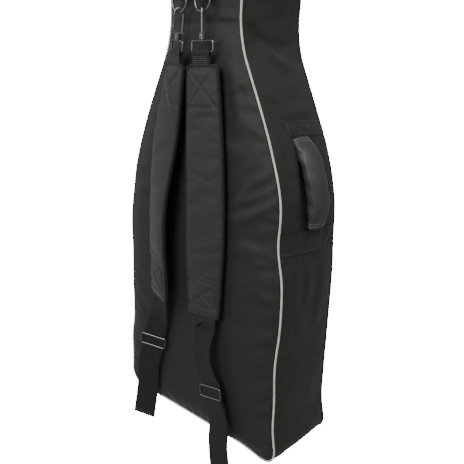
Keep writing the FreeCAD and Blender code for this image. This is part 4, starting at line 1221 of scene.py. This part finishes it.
def make_pad(side):
    facts = STRAPS[side]
    pose, _ = strap_poses(side)
    share = np.concatenate([[0, 0.004, 0.010], np.linspace(0.020, 0.980, PAD_ROWS - 6), [0.990, 0.996, 1]])
    u = np.linspace(-1, 1, PAD_COLUMNS)
    half = pad_half(share)
    x = half[:, None] * u[None]
    down = PAD_TOP + PAD_LENGTH * np.repeat(share[:, None], PAD_COLUMNS, 1)
    away = np.minimum(half[:, None] - np.abs(x),
                      np.minimum(down - PAD_TOP, PAD_TOP + PAD_LENGTH - down))
    crown = PAD_RIM + (PAD_CROWN - PAD_RIM) * edge_fade(away, 9 * MM)
    folds = crease_height(x, down, PAD_CREASES[side]) * edge_fade(away, 4 * MM)
    ripple = 0.25 * MM * np.sin(down * 120 + x * 60) * edge_fade(away, 6 * MM)
    outer = pose.at(pad_point(facts, x, -(crown + folds + ripple), down))
    inner = pose.at(pad_point(facts, x, crown * 0.9, down))
    pad, rim, size = closed_pad("shoulder_pad_soft_" + side, outer, inner, (PAD_CLOTH, PAD_CLOTH))
    inflate(pad, rim + [i + size for i in rim], 4.0, 1.6 * MM, 0.010)
    subdivide(pad)
    lines = [pose.at(pad_point(facts, across, -20 * MM, downs))
             for across, downs in (np.array(line).T for line in pad_lines(side))]
    press(pad, lines, 1.5 * MM, 2.2 * MM, pose.depth)
    body = "pad_" + side
    fit(pad, body, "pad_cloth", "shoulder_pad_" + side, fill=0.75)
    sewn("shoulder_pad_stitching_" + side, tree_of(pad), lines, pose.depth, THREAD, body, "pad_cloth")
    # folded tape round the rim
    right = np.stack([half, PAD_TOP + PAD_LENGTH * share], 1)
    loop = np.concatenate([right, (right * [-1, 1])[::-1], right[:1]])
    run = run_along(loop)
    rim_line = at_run(np.linspace(0, run[-1], 340)[:-1], run, loop)
    centre = pose.at(pad_point(facts, rim_line[:, 0] * 0.985, 0.1 * MM, rim_line[:, 1]))
    tangent = unit(np.roll(centre, -1, axis=0) - np.roll(centre, 1, axis=0))
    depth = np.broadcast_to(pose.depth, centre.shape)
    side_way = unit(np.cross(depth, tangent))
    turns = turns_round(14)
    section = np.stack([2.3 * MM * np.sign(np.cos(turns)) * np.abs(np.cos(turns)) ** 0.7,
                        3.1 * MM * np.sign(np.sin(turns)) * np.abs(np.sin(turns)) ** 0.8], 1)
    tape = sweep("shoulder_pad_binding_" + side, centre, side_way, depth, section, PAD_TAPE, True)
    fit(tape, body, "binding_dark")
    make_upper_webbing(side, pose)


def make_upper_webbing(side, pose):
    """Webbing looped over the swivel loop's lower bar and sewn into the pad."""
    skin = WEB_THICK / 2 + 0.15 * MM
    bar = 1.5 * MM + WEB_THICK / 2 + 0.1 * MM
    back = [(-skin, PAD_TOP + 9 * MM), (-skin, PAD_TOP), (-skin, 9 * MM), (-bar * 0.97, 2.4 * MM),
            (-bar * 0.72, -bar * 0.72)]
    profile = back + [(0, -bar)] + [(-y, down) for y, down in reversed(back)]
    shift = STRAPS[side]["web_shift"]
    line = pose.at(catmull(np.array([(shift, y, -down) for y, down in profile]), 70))
    tape = lay_tape("upper_webbing_tape_" + side, line, pose.across, UPPER_WEB, WEB_THICK, WEBBING)
    fit(tape, "pad_" + side, "webbing", "upper_webbing_" + side)
    half = UPPER_WEB / 2 - 2.5 * MM
    rows = [pose.at(np.array([(shift - half, -5 * MM, -down), (shift + half, -5 * MM, -down)]))
            for down in np.arange(6, 17, 2.6) * MM]
    sewn("upper_webbing_stitching_" + side, tree_of(tape), rows, pose.depth, PALE_THREAD, "pad_" + side,
         "webbing", pitch=2.4 * MM)


def make_lower_webbing(side):
    """Adjustable end: down from the pad, through the tri-glide, round the fold and back up."""
    facts = STRAPS[side]
    pad, end = strap_poses(side)
    glide, last = facts["glide_drop"], facts["glide_drop"] + facts["loop"]
    bottom = PAD_TOP + PAD_LENGTH
    inside = pad.at(pad_point(facts, 0.0, 0.0, np.array([bottom - 22 * MM, bottom])))
    drop = np.linspace(8 * MM, glide - 12 * MM, 15)
    share = (drop - drop[0]) / (drop[-1] - drop[0])
    slack = facts["slack"] * np.sin(math.pi * share) + facts["start"] * (1 - share) ** 2
    hang = end.at(np.stack([slack, -np.abs(slack) * 0.5, -drop], -1))

    def swing(down):
        """Sideways bow of the end loop below the tri-glide."""
        return hump(down - glide, facts["tail"], 48 * MM, 27 * MM)

    after = np.linspace(glide + 2 * MM, last - 2 * MM, 12)
    tail = end.at(np.stack([swing(after), 0.7 * MM * np.sin(after * 40), -after], -1))
    fold = end.at([(0, 0.9 * MM, -last), (0, 2.0 * MM, -last + 1.5 * MM), (0, 2.2 * MM, -last + 9 * MM)])
    line = catmull(np.concatenate([inside, hang, tail, fold]), 190)
    total = np.linalg.norm(line - inside[1], axis=1)
    t = np.clip(total / np.linalg.norm(hang[-1] - inside[1]), 0, 1)
    t = np.where((line - inside[1]) @ (-pad.up) < 0, 0, t)
    twist = math.radians(facts["twist"]) * np.sin(math.pi * t)
    across = unit(pad.across[None] * (1 - t)[:, None] + end.across[None] * t[:, None])
    depth = unit(np.cross(end.up, across))
    across = np.cos(twist)[:, None] * across + np.sin(twist)[:, None] * depth
    side_way, up = along_path(line, across)
    narrow = 1 - 0.04 * np.sin(math.pi * t)
    scale = np.stack([narrow, np.ones_like(narrow)], 1)
    cup = 1.6 * MM * np.sin(math.pi * t)
    section = ribbon(LOWER_WEB, WEB_THICK, across=9)
    bend = (section[:, 0] / (LOWER_WEB / 2)) ** 2
    extra = (cup[:, None] * bend[None])[..., None] * up[:, None]
    run = sweep("lower_webbing_run_" + side, line, side_way, up, section, WEBBING, scale=scale, extra=extra)
    start = pad.at(pad_point(facts, 0.0, 0.0, bottom - 2 * MM))
    end.at((0, 0, -26 * MM))
    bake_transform(run)
    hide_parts("lower_webbing_" + side)
    # return layer, from the fold up behind and round the glide's middle bar
    rise = np.linspace(last - 6 * MM, glide + 12 * MM, 9)
    back = [(swing(down), 2.6 * MM + 0.5 * MM * math.sin(60 * down), -down) for down in rise]
    bar_y, wrap = 2.5 * MM, 2.1 * MM
    back += [(0, bar_y + wrap, -glide - 2 * MM), (0, bar_y + wrap * 0.8, -glide + 1.4 * MM),
             (0, bar_y, -glide + wrap), (0, bar_y - wrap * 0.55, -glide + 1.2 * MM)]
    line = catmull(end.at(np.array(back)), 90)
    layer = lay_tape("lower_webbing_return_" + side, line, end.across, LOWER_WEB * 0.985, RETURN_THICK,
                     WEBBING, 9)
    end.at((0, 0, -last + 4 * MM))
    end.at((0, 0, -glide - 5 * MM))
    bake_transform(layer)
    # bar tacks across the end loop
    half = LOWER_WEB / 2 - 3 * MM
    rows = [end.at(np.array([(-half, -6 * MM, -last + tack), (half, -6 * MM, -last + tack)]))
            for tack in (5 * MM, 8 * MM)]
    sewn("end_loop_stitching_" + side, tree_of(run), rows, end.depth, PALE_THREAD, "end_" + side,
         "webbing")


def make_ring_tab(side, tree):
    """Webbing tab sewn to the back panel that holds the D-ring's straight bar."""
    node = "ring_tab_" + side
    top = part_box(node)[1].z
    x, bar_y, bar_z = JOINTS["ring_%s_lift" % side]["pos_m"]
    wrap = 1.7 * MM + TAB_THICK / 2
    landed, _ = onto(tree, np.array([[x, BACK, top - 8 * MM], [x, BACK, top - 20 * MM]]), (0, 1, 0))
    skin = min(BACK - TAB_THICK / 2, landed[:, 1].min() - TAB_THICK / 2)
    profile = [(skin - 1.4 * MM, top), (skin - 1.4 * MM, top - 9 * MM), (skin - 1.6 * MM, top - 18 * MM),
               (bar_y - 5 * MM, bar_z + 16 * MM), (bar_y - wrap, bar_z + 3 * MM),
               (bar_y - wrap * 0.8, bar_z - wrap * 0.6), (bar_y, bar_z - wrap),
               (bar_y + wrap * 0.8, bar_z - wrap * 0.6), (bar_y + wrap, bar_z + 3 * MM),
               (bar_y + 5 * MM, bar_z + 13 * MM), (skin, top - 21 * MM), (skin, top - 10 * MM),
               (skin, top)]
    line = catmull(np.array([(x, y, z) for y, z in profile]), 110)
    tape = lay_tape("ring_tab_webbing_" + side, line, (1, 0, 0), TAB_WIDTH, TAB_THICK, WEBBING)
    fit(tape, "bag", "webbing", node)
    left, right = x - 7 * MM, x + 7 * MM
    high, low = top - 2.5 * MM, top - 16 * MM
    corners = [(at, skin - 8 * MM, z) for at, z in ((left, high), (right, high), (right, low), (left, low))]
    sewn("ring_tab_stitching_" + side, tree_of(tape), boxed_cross(corners), (0, 1, 0), PALE_THREAD, "bag",
         "webbing", pitch=2.8 * MM)


def make_straps(panel):
    tree = tree_of(panel)
    for side in STRAPS:
        make_ring_tab(side, tree)
        make_pad(side)
        make_lower_webbing(side)


# ------------------------------------------------------------------ lid, zipper and pocket

FACE = DEPTH - 0.5 * MM
TAPE_START, TAPE_WIDTH, TEETH_WIDTH, TEETH_GAP, LID_TAPE = 3 * MM, 11 * MM, 2 * MM, 0.3 * MM, 9 * MM
LID_INSET = 24 * MM
HINGE_LOW, HINGE_HIGH = 40 * MM, 300 * MM
COIL_PITCH, COIL_THICK, COIL_HEIGHT = 2.0 * MM, 1.15 * MM, 2.3 * MM
COIL_OFF = 1.15 * MM


def zip_run(inset, count=1500):
    """The outline at an inset, open where the lid is hinged, with the way out at each point."""
    flat, normal = outline(inset, count)
    hinged = (flat[:, 0] > HALF - 40 * MM) & (flat[:, 1] > HINGE_LOW) & (flat[:, 1] < HINGE_HIGH)
    first = int(np.nonzero(hinged)[0][-1]) + 1
    order = [(first + i) % count for i in range(count) if not hinged[(first + i) % count]]
    return flat[order], normal[order]


def make_zip_tape(name, node, inset, width, body):
    flat, normal = zip_run(inset)
    centre = place(sag(in_depth(flat, FACE - 0.5 * MM)))
    up = np.tile([0.0, 1.0, 0.0], (len(flat), 1))
    tape = sweep(name, centre[::3], in_depth(normal, 0.0)[::3], up[::3], ribbon(width, 0.9 * MM), ZIP_TAPE)
    fit(tape, body, "zip_tape", node)


def tooth_form(length, width, height):
    """One turn of coil as a rounded bar along X."""
    turns = turns_round(8)
    ring = np.stack([np.cos(turns) * width / 2, np.sin(turns) * height / 2], 1)
    rows = [(-0.5, 0.55), (-0.32, 1.0), (0.32, 1.0), (0.5, 0.55)]
    points = np.array([(x * length, w * size, h * size) for x, size in rows for w, h in ring])
    return points, tube_faces(len(rows), len(ring))


def make_teeth(name, node, centre, out, body, length, offset=0.0, pitch=COIL_PITCH):
    """Coil along a path: one rounded bar per turn, lying across the path."""
    run = run_along(centre)
    at = np.arange(offset, run[-1], pitch)
    spots, outs = at_run(at, run, centre), unit(at_run(at, run, out))
    up = np.array([0.0, 1.0, 0.0])
    along = np.cross(up, outs)
    form, form_faces = tooth_form(length, COIL_THICK, COIL_HEIGHT)
    points = (spots[:, None] + form[None, :, :1] * outs[:, None] + form[None, :, 1:2] * along[:, None]
              + form[None, :, 2:] * up)
    faces = [tuple(i * len(form) + v for v in face) for i in range(len(spots)) for face in form_faces]
    fit(mesh_piece(name, points.reshape(-1, 3), faces, COIL), body, "zip_teeth", node)


def make_zipper():
    wall_end = TAPE_START + TAPE_WIDTH
    middle = wall_end + TEETH_WIDTH + TEETH_GAP / 2
    lid_teeth = middle + TEETH_GAP / 2 + TEETH_WIDTH
    make_zip_tape("main_zip_tape_wall", "zipper_tape_wall", TAPE_START + TAPE_WIDTH / 2, TAPE_WIDTH, "bag")
    make_zip_tape("main_zip_tape_lid", "zipper_tape_lid", lid_teeth + LID_TAPE / 2, LID_TAPE, "lid")
    for name, node, inset, body, offset in (
            ("main_zip_coil_wall", "zipper_teeth_wall", middle - COIL_OFF, "bag", 0.0),
            ("main_zip_coil_lid", "zipper_teeth_lid", middle + COIL_OFF, "lid", COIL_PITCH / 2)):
        flat, normal = zip_run(inset)
        centre = place(sag(in_depth(flat, FACE - 0.2 * MM)))
        make_teeth(name, node, centre, in_depth(normal, 0.0), body, 2.9 * MM, offset)


def make_hinge():
    """Cloth strip between the wall and the lid."""
    rows, cols = 60, 18
    z = np.linspace(HINGE_LOW + 0.5 * MM, HINGE_HIGH - 0.5 * MM, rows)
    x = np.linspace(HALF - TAPE_START, HALF - 27 * MM, cols)
    xx, zz = np.meshgrid(x, z, indexing="xy")
    ripple = 0.3 * MM * np.sin(zz * 130 + xx * 200)
    outer = on_bag(xx, FACE + 0.1 * MM + ripple, zz)
    inner = on_bag(xx, FACE - 1.0 * MM + ripple, zz)
    strip, _, _ = closed_pad("lid_hinge_cloth", outer, inner, (BAND_CLOTH, LINING))
    x, y, z = JOINTS["lid_open"]["pos_m"]
    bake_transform(strip)
    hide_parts("lid_hinge_strip", "lid_hinge_flap")


def make_lid():
    x, z, away = panel_places(LID_INSET)
    folds = side_puckers(31, 36, (0.04, 0.94), (0.02, 0.06), (0.4 * MM, 1.1 * MM), (4 * MM, 8 * MM))
    folds = [([(u * 0.84, v) for u, v in points], depth, width) for points, depth, width in folds]
    in_pocket = smooth_step(0.330 - z, 0, 0.03)
    height = (2.4 * MM * edge_fade(away, 14 * MM) + crease_height(x, z, folds) * (1 - 0.7 * in_pocket))
    height = height * edge_fade(away, 4 * MM) * (1 - 0.55 * in_pocket)
    outer = on_bag(x, FACE + 0.5 * MM + height, z)
    inner = lining_grid(19.4 * MM, FACE - WALL, 0.7 * MM, (55, 36), 1)
    lid, rim, size = closed_pad("lid_panel", outer, inner, (CLOTH, LINING))
    inflate(lid, rim + list(range(size, 2 * size)), 2.0, 1.8 * MM, 0.008)
    subdivide(lid)
    fit(lid, "lid", "cover_cloth", "lid_cover", "lid_foam", "lid_lining", fill=0.7)
    # a row of stitches holds the lid's edge to the zipper tape
    flat, _ = zip_run(LID_INSET + 2.4 * MM, 700)
    spots = place(sag(in_depth(flat, FACE)))
    path = onto(tree_of(lid), spots, (0, -1, 0))
    fit(stitches("lid_edge_stitching", [path], THREAD, pitch=4 * MM), "lid", "cover_cloth")
    return lid


POCKET_HALF = 108 * MM
POCKET_LOW, POCKET_HIGH = 56 * MM, 300 * MM
POCKET_CORNER = 26 * MM
POCKET_ZIP = 278 * MM
POCKET_ZIP_HALF = 92 * MM
POCKET_SLOT = 5.6 * MM


def make_pocket(lid):
    inward = (0, -1, 0)
    slot = POCKET_SLOT
    bend = POCKET_CORNER * (1 - np.cos(np.linspace(0, math.pi / 2, 9)))
    slot_rows = np.array([-slot - 0.6 * MM, -slot + 0.6 * MM, -2 * MM, 2 * MM, slot - 0.6 * MM,
                          slot + 0.6 * MM])
    z = np.unique(np.concatenate([
        POCKET_LOW + bend, np.linspace(POCKET_LOW + POCKET_CORNER, POCKET_ZIP - 12 * MM, 34),
        POCKET_ZIP + slot_rows, POCKET_HIGH - bend]))
    low = np.clip(POCKET_CORNER - (z - POCKET_LOW), 0, POCKET_CORNER)
    high = np.clip(POCKET_CORNER - (POCKET_HIGH - z), 0, POCKET_CORNER)
    near = np.maximum(low, high)
    half = POCKET_HALF - POCKET_CORNER + np.sqrt(np.maximum(POCKET_CORNER ** 2 - near ** 2, 0))
    x = half[:, None] * np.linspace(-1, 1, 47)[None]
    zz = np.repeat(z[:, None], x.shape[1], 1)
    away = np.minimum(half[:, None] - np.abs(x), np.minimum(zz - POCKET_LOW, POCKET_HIGH - zz))
    away = np.maximum(away, 0)
    base, _ = onto(tree_of(lid), on_bag(x, FACE, zz).reshape(-1, 3), inward)
    base = base.reshape(x.shape + (3,))

    def anywhere(draw):
        return (draw.uniform(-0.1, 0.1), draw.uniform(0.06, 0.26)), draw.uniform(0, 6.28)

    folds = random_creases(41, 26, anywhere, (0.02, 0.07), (0.3 * MM, 0.9 * MM), (5 * MM, 9 * MM))
    in_slot = ((np.abs(zz - POCKET_ZIP) < slot) & (np.abs(x) < POCKET_ZIP_HALF)).astype(float)
    puff = (1.1 * MM + 1.5 * MM * edge_fade(away, 20 * MM)
            + crease_height(x, zz, folds) * edge_fade(away, 10 * MM))
    height = puff * (1 - in_slot) + 0.5 * MM * in_slot
    out = np.array([0.0, 1.0, 0.0])
    pocket, _, _ = closed_pad("front_pocket", base + out * height[..., None], base - out * 0.5 * MM,
                              (CLOTH, LINING))
    subdivide(pocket)
    fit(pocket, "lid", "cover_cloth", "pocket_panel")
    rim = np.concatenate([np.stack([half - 3 * MM, z], 1), np.stack([-half + 3 * MM, z], 1)[::-1]])
    rim[:, 1] = np.clip(rim[:, 1], POCKET_LOW + 3 * MM, POCKET_HIGH - 3 * MM)
    rim = np.concatenate([rim, rim[:1]])
    tree = tree_of(pocket)
    paths = [onto(tree, on_bag(rim[:, 0], FACE, rim[:, 1]), inward)]
    for gap in (-8 * MM, 8 * MM):
        row = np.linspace(-POCKET_ZIP_HALF, POCKET_ZIP_HALF, 90)
        paths.append(onto(tree, on_bag(row, FACE, POCKET_ZIP + gap), inward))
    fit(stitches("pocket_stitching", paths, THREAD, pitch=4 * MM), "lid", "cover_cloth")
    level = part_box("pocket_zipper_teeth")[1].y - 1.6 * MM
    count = 60
    row = np.zeros((count, 3))
    row[:, 0] = np.linspace(-POCKET_ZIP_HALF, POCKET_ZIP_HALF, count)
    side = np.tile([0.0, 0.0, 1.0], (count, 1))
    tapes = [sweep("pocket_zip_tape", row + (0, level, UNDER + POCKET_ZIP + sign * 4.2 * MM), side,
                   np.tile(out, (count, 1)), ribbon(POCKET_SLOT, 0.8 * MM), ZIP_TAPE) for sign in (-1, 1)]
    fit(join("pocket_zip_tapes", tapes), "lid", "zip_tape", "pocket_zipper_tapes")
    make_teeth("pocket_zip_coil", "pocket_zipper_teeth", row + (0, level + 0.2 * MM, UNDER + POCKET_ZIP),
               side, "lid", 4.2 * MM, pitch=1.7 * MM)


# ------------------------------------------------------------------ top loop and inside

def make_hang_loop():
    low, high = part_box("hang_loop")
    thick = 3.2 * MM
    half = (high.x - low.x) / 2 - thick / 2
    rise = high.z - thick / 2 - half
    base = low.z - 0.5 * MM
    foot = 2.6 * MM
    leg = [(half + foot, base), (half + foot * 0.2, base + 7 * MM), (half, base + 16 * MM)]
    arch = [(half * math.cos(a), rise + half * math.sin(a)) for a in np.linspace(0, math.pi, 22)]
    points = leg + arch + [(-x, z) for x, z in reversed(leg)]
    y = (low.y + high.y) / 2
    line = catmull(np.array([(x, y, z) for x, z in points]), 110)
    loop = lay_tape("hang_loop_webbing", line, (0, 1, 0), high.y - low.y, thick, WEBBING, 8)
    fit(loop, "bag", "webbing", "hang_loop")
    tree = tree_of(loop)
    y_run = np.linspace(low.y + 2.5 * MM, high.y - 2.5 * MM, 16)
    paths = []
    for sign in (-1, 1):
        for height in (4 * MM, 8 * MM, 22 * MM):
            spots = np.broadcast_arrays(sign * (half + 2 * MM), y_run, base + height)
            paths.append(onto(tree, np.stack(spots, 1), (-sign, 0, 0), reach=20 * MM))
    fit(stitches("hang_loop_stitching", paths, PALE_THREAD, pitch=2.8 * MM), "bag", "webbing")


def soft_block(name, node, section, length_axis):
    """A foam block: a closed section (pairs across, depth) drawn along one axis with rounded ends."""
    low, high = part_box(node)
    section = np.asarray(section, float)
    middle = section.mean(0)
    whole = (high - low)[length_axis]
    shares = np.array([0, 0.012, 0.04, 0.09, 0.2, 0.35, 0.5, 0.65, 0.8, 0.91, 0.96, 0.988, 1.0])
    inset = 3.0 * MM * np.exp(-np.minimum(shares, 1 - shares) * whole / (2.2 * MM))
    others = [a for a in range(3) if a != length_axis]
    rings = np.zeros((len(shares), len(section), 3))
    for ring, share, gap in zip(rings, shares, inset):
        shrink = 1 - gap / np.abs(section - middle).max(0)
        ring[:, others] = middle + (section - middle) * shrink
        ring[:, length_axis] = low[length_axis] + share * whole
    block = mesh_piece(name, rings.reshape(-1, 3), tube_faces(len(shares), len(section)), PLUSH)
    remesh = block.modifiers.new("Remesh", "REMESH")
    remesh.mode = "VOXEL"
    remesh.voxel_size = 4 * MM
    remesh.use_smooth_shade = True
    bake_modifiers(block)
    face_outward(block)
    under = 1 if length_axis == 2 else 2
    held = np.nonzero(coordinates(block.data)[:, under] < low[under] + 2 * MM)[0]
    inflate(block, held, 4.0, 1.8 * MM, 0.004)
    subdivide(block)
    fit(block, "bag", "foam", node, fill=0.8)


def make_inside():
    low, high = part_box("neck_cradle")
    groove = 27 * MM
    half = high.x - 2 * MM
    base, face = low.y + 0.5 * MM, high.y - 2 * MM
    section = [(-half, base), (0, base), (half, base), (half, (low.y + face) / 2), (half, face)]
    section += [(groove * math.cos(a), face - groove * math.sin(a)) for a in np.linspace(0, math.pi, 15)]
    section += [(-half, face), (-half, (low.y + face) / 2)]
    soft_block("neck_cradle_soft", "neck_cradle", section, 2)
    low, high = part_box("end_bumper")
    inset = 2.5 * MM
    y0, y1, z0, z1 = low.y + inset, high.y - inset, low.z + 0.5 * MM, high.z - inset
    y_middle, z_middle = (y0 + y1) / 2, (z0 + z1) / 2
    section = [(y0, z0), (y_middle, z0), (y1, z0), (y1, z_middle), (y1 - 1 * MM, z1),
               (y_middle, z1 + 1 * MM), (y0 + 1 * MM, z1), (y0, z_middle)]
    soft_block("end_bumper_soft", "end_bumper", section, 0)
    make_neck_tie()


def make_neck_tie():
    """Strap over the cradle's groove, with a hook-and-loop overlap."""
    low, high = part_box("neck_tie")
    z = (low.z + high.z) / 2
    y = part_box("neck_cradle")[1].y + 0.6 * MM
    reach, span = high.x, 33 * MM
    left = [(-reach, y), (-reach + 10 * MM, y + 0.5 * MM), (-span, y + 2 * MM),
            (-span + 8 * MM, high.y - 5 * MM), (-12 * MM, high.y - 1.5 * MM)]
    points = left + [(-px, py) for px, py in reversed(left)]
    line = catmull(np.array([(px, py, z) for px, py in points]), 90)
    width = high.z - low.z
    tie = lay_tape("neck_tie_strap", line, (0, 0, 1), width, 1.8 * MM, WEBBING, 8)
    fit(tie, "bag", "webbing", "neck_tie")
    patch_line = line[24:62] + np.array([0, 1.5 * MM, 0])
    patch = lay_tape("neck_tie_patch", patch_line, (0, 0, 1), width * 0.94, 1.4 * MM, PLUSH, 8)
    fit(patch, "bag", "webbing")


# ------------------------------------------------------------------ metal that stays as the CAD made it

def finish_metal():
    looks = dict.fromkeys(("strap_ring", "snap_hook", "hook_gate", "swivel_loop", "tri_glide"), STEEL)
    looks.update(zipper_slider=BLACK_METAL, pocket_slider=BLACK_METAL)
    for name, node in frame["nodes"].items():
        for start, look in looks.items():
            if name.startswith(start):
                node.data.materials.clear()
                node.data.materials.append(look)


# ------------------------------------------------------------------ camera, light, floor

CAMERA_AT = (0.5868, -0.6429, -0.4985)
CAMERA_TURN = 0.73008
CAMERA_DIP = 0.27742
CAMERA_ROLL = 0.03943
CAMERA_SENSOR = 36
CAMERA_LENS = 570 / 464 * CAMERA_SENSOR
WHITE_GLOW = 18.0
AMBIENT = 0.27
FLOOR_HALF = 6.0
FLOOR_GAP = 0.10


def make_camera():
    turn, dip, roll = CAMERA_TURN, CAMERA_DIP, CAMERA_ROLL
    right = Vector((math.cos(turn), math.sin(turn), 0))
    ahead = Vector((-math.sin(turn) * math.cos(dip), math.cos(turn) * math.cos(dip), -math.sin(dip)))
    up = right.cross(ahead)
    tilted = math.cos(roll) * right + math.sin(roll) * up
    upright = -math.sin(roll) * right + math.cos(roll) * up
    data = bpy.data.cameras.new("camera")
    data.sensor_width = CAMERA_SENSOR
    data.lens = CAMERA_LENS
    data.clip_start = 0.01
    camera = bpy.data.objects.new("camera", data)
    axes = Matrix((tilted, upright, -ahead)).transposed().to_4x4()
    camera.matrix_world = Matrix.Translation(CAMERA_AT) @ axes
    scene.collection.objects.link(camera)
    scene.camera = camera


def area_light(name, at, target, size, power, tint=(1, 1, 1)):
    data = bpy.data.lights.new(name, "AREA")
    data.shape = "RECTANGLE"
    data.size, data.size_y = size
    data.energy = power
    data.color = tint
    light = bpy.data.objects.new(name, data)
    light.location = at
    light.rotation_mode = "QUATERNION"
    light.rotation_quaternion = (Vector(target) - Vector(at)).to_track_quat("-Z", "Y")
    scene.collection.objects.link(light)


def make_studio():
    world = bpy.data.worlds.new("studio")
    world.use_nodes = True
    nodes, links = world.node_tree.nodes, world.node_tree.links
    dim = nodes["Background"]
    dim.inputs["Strength"].default_value = AMBIENT
    bright = nodes.new("ShaderNodeBackground")
    bright.inputs["Strength"].default_value = WHITE_GLOW
    for shade in (dim, bright):
        shade.inputs["Color"].default_value = (1.0, 1.0, 1.0, 1.0)
    choice = nodes.new("ShaderNodeMixShader")
    links.new(nodes.new("ShaderNodeLightPath").outputs["Is Camera Ray"], choice.inputs["Fac"])
    links.new(dim.outputs[0], choice.inputs[1])
    links.new(bright.outputs[0], choice.inputs[2])
    links.new(choice.outputs[0], nodes["World Output"].inputs["Surface"])
    scene.world = world
    middle = (0, 0, -0.75)
    area_light("key", (0.35, -1.9, 0.4), middle, (1.2, 1.2), 33)
    area_light("fill", (-1.7, -1.2, 0.1), middle, (1.4, 1.6), 8)
    area_light("rim", (1.5, 0.1, 0.8), middle, (0.9, 1.6), 11)
    floor_z = min(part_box("lower_webbing_" + side)[0].z for side in STRAPS) - FLOOR_GAP
    corners = [(x * FLOOR_HALF, y * FLOOR_HALF) for x, y in ((-1, -1), (1, -1), (1, 1), (-1, 1))]
    n = Nodes("pale_floor")
    look = n.set(color=n.blend(n.noise(3.0), (0.86, 0.86, 0.86), (0.9, 0.9, 0.9)), rough=0.7)
    n.put(n.shader.inputs["Emission Color"], (1.0, 1.0, 1.0, 1.0))
    n.put(n.shader.inputs["Emission Strength"], WHITE_GLOW)
    floor = mesh_piece("floor", [(x, y, floor_z) for x, y in corners], [(0, 1, 2, 3)], look)
    floor.visible_diffuse = False
    floor.visible_glossy = False


make_camera()
make_studio()
back_panel = make_back_panel()
gusset = make_gusset()
make_edge_cords()
make_handle(gusset)
make_straps(back_panel)
make_zipper()
make_hinge()
lid_panel = make_lid()
make_pocket(lid_panel)
make_hang_loop()
make_inside()
finish_metal()
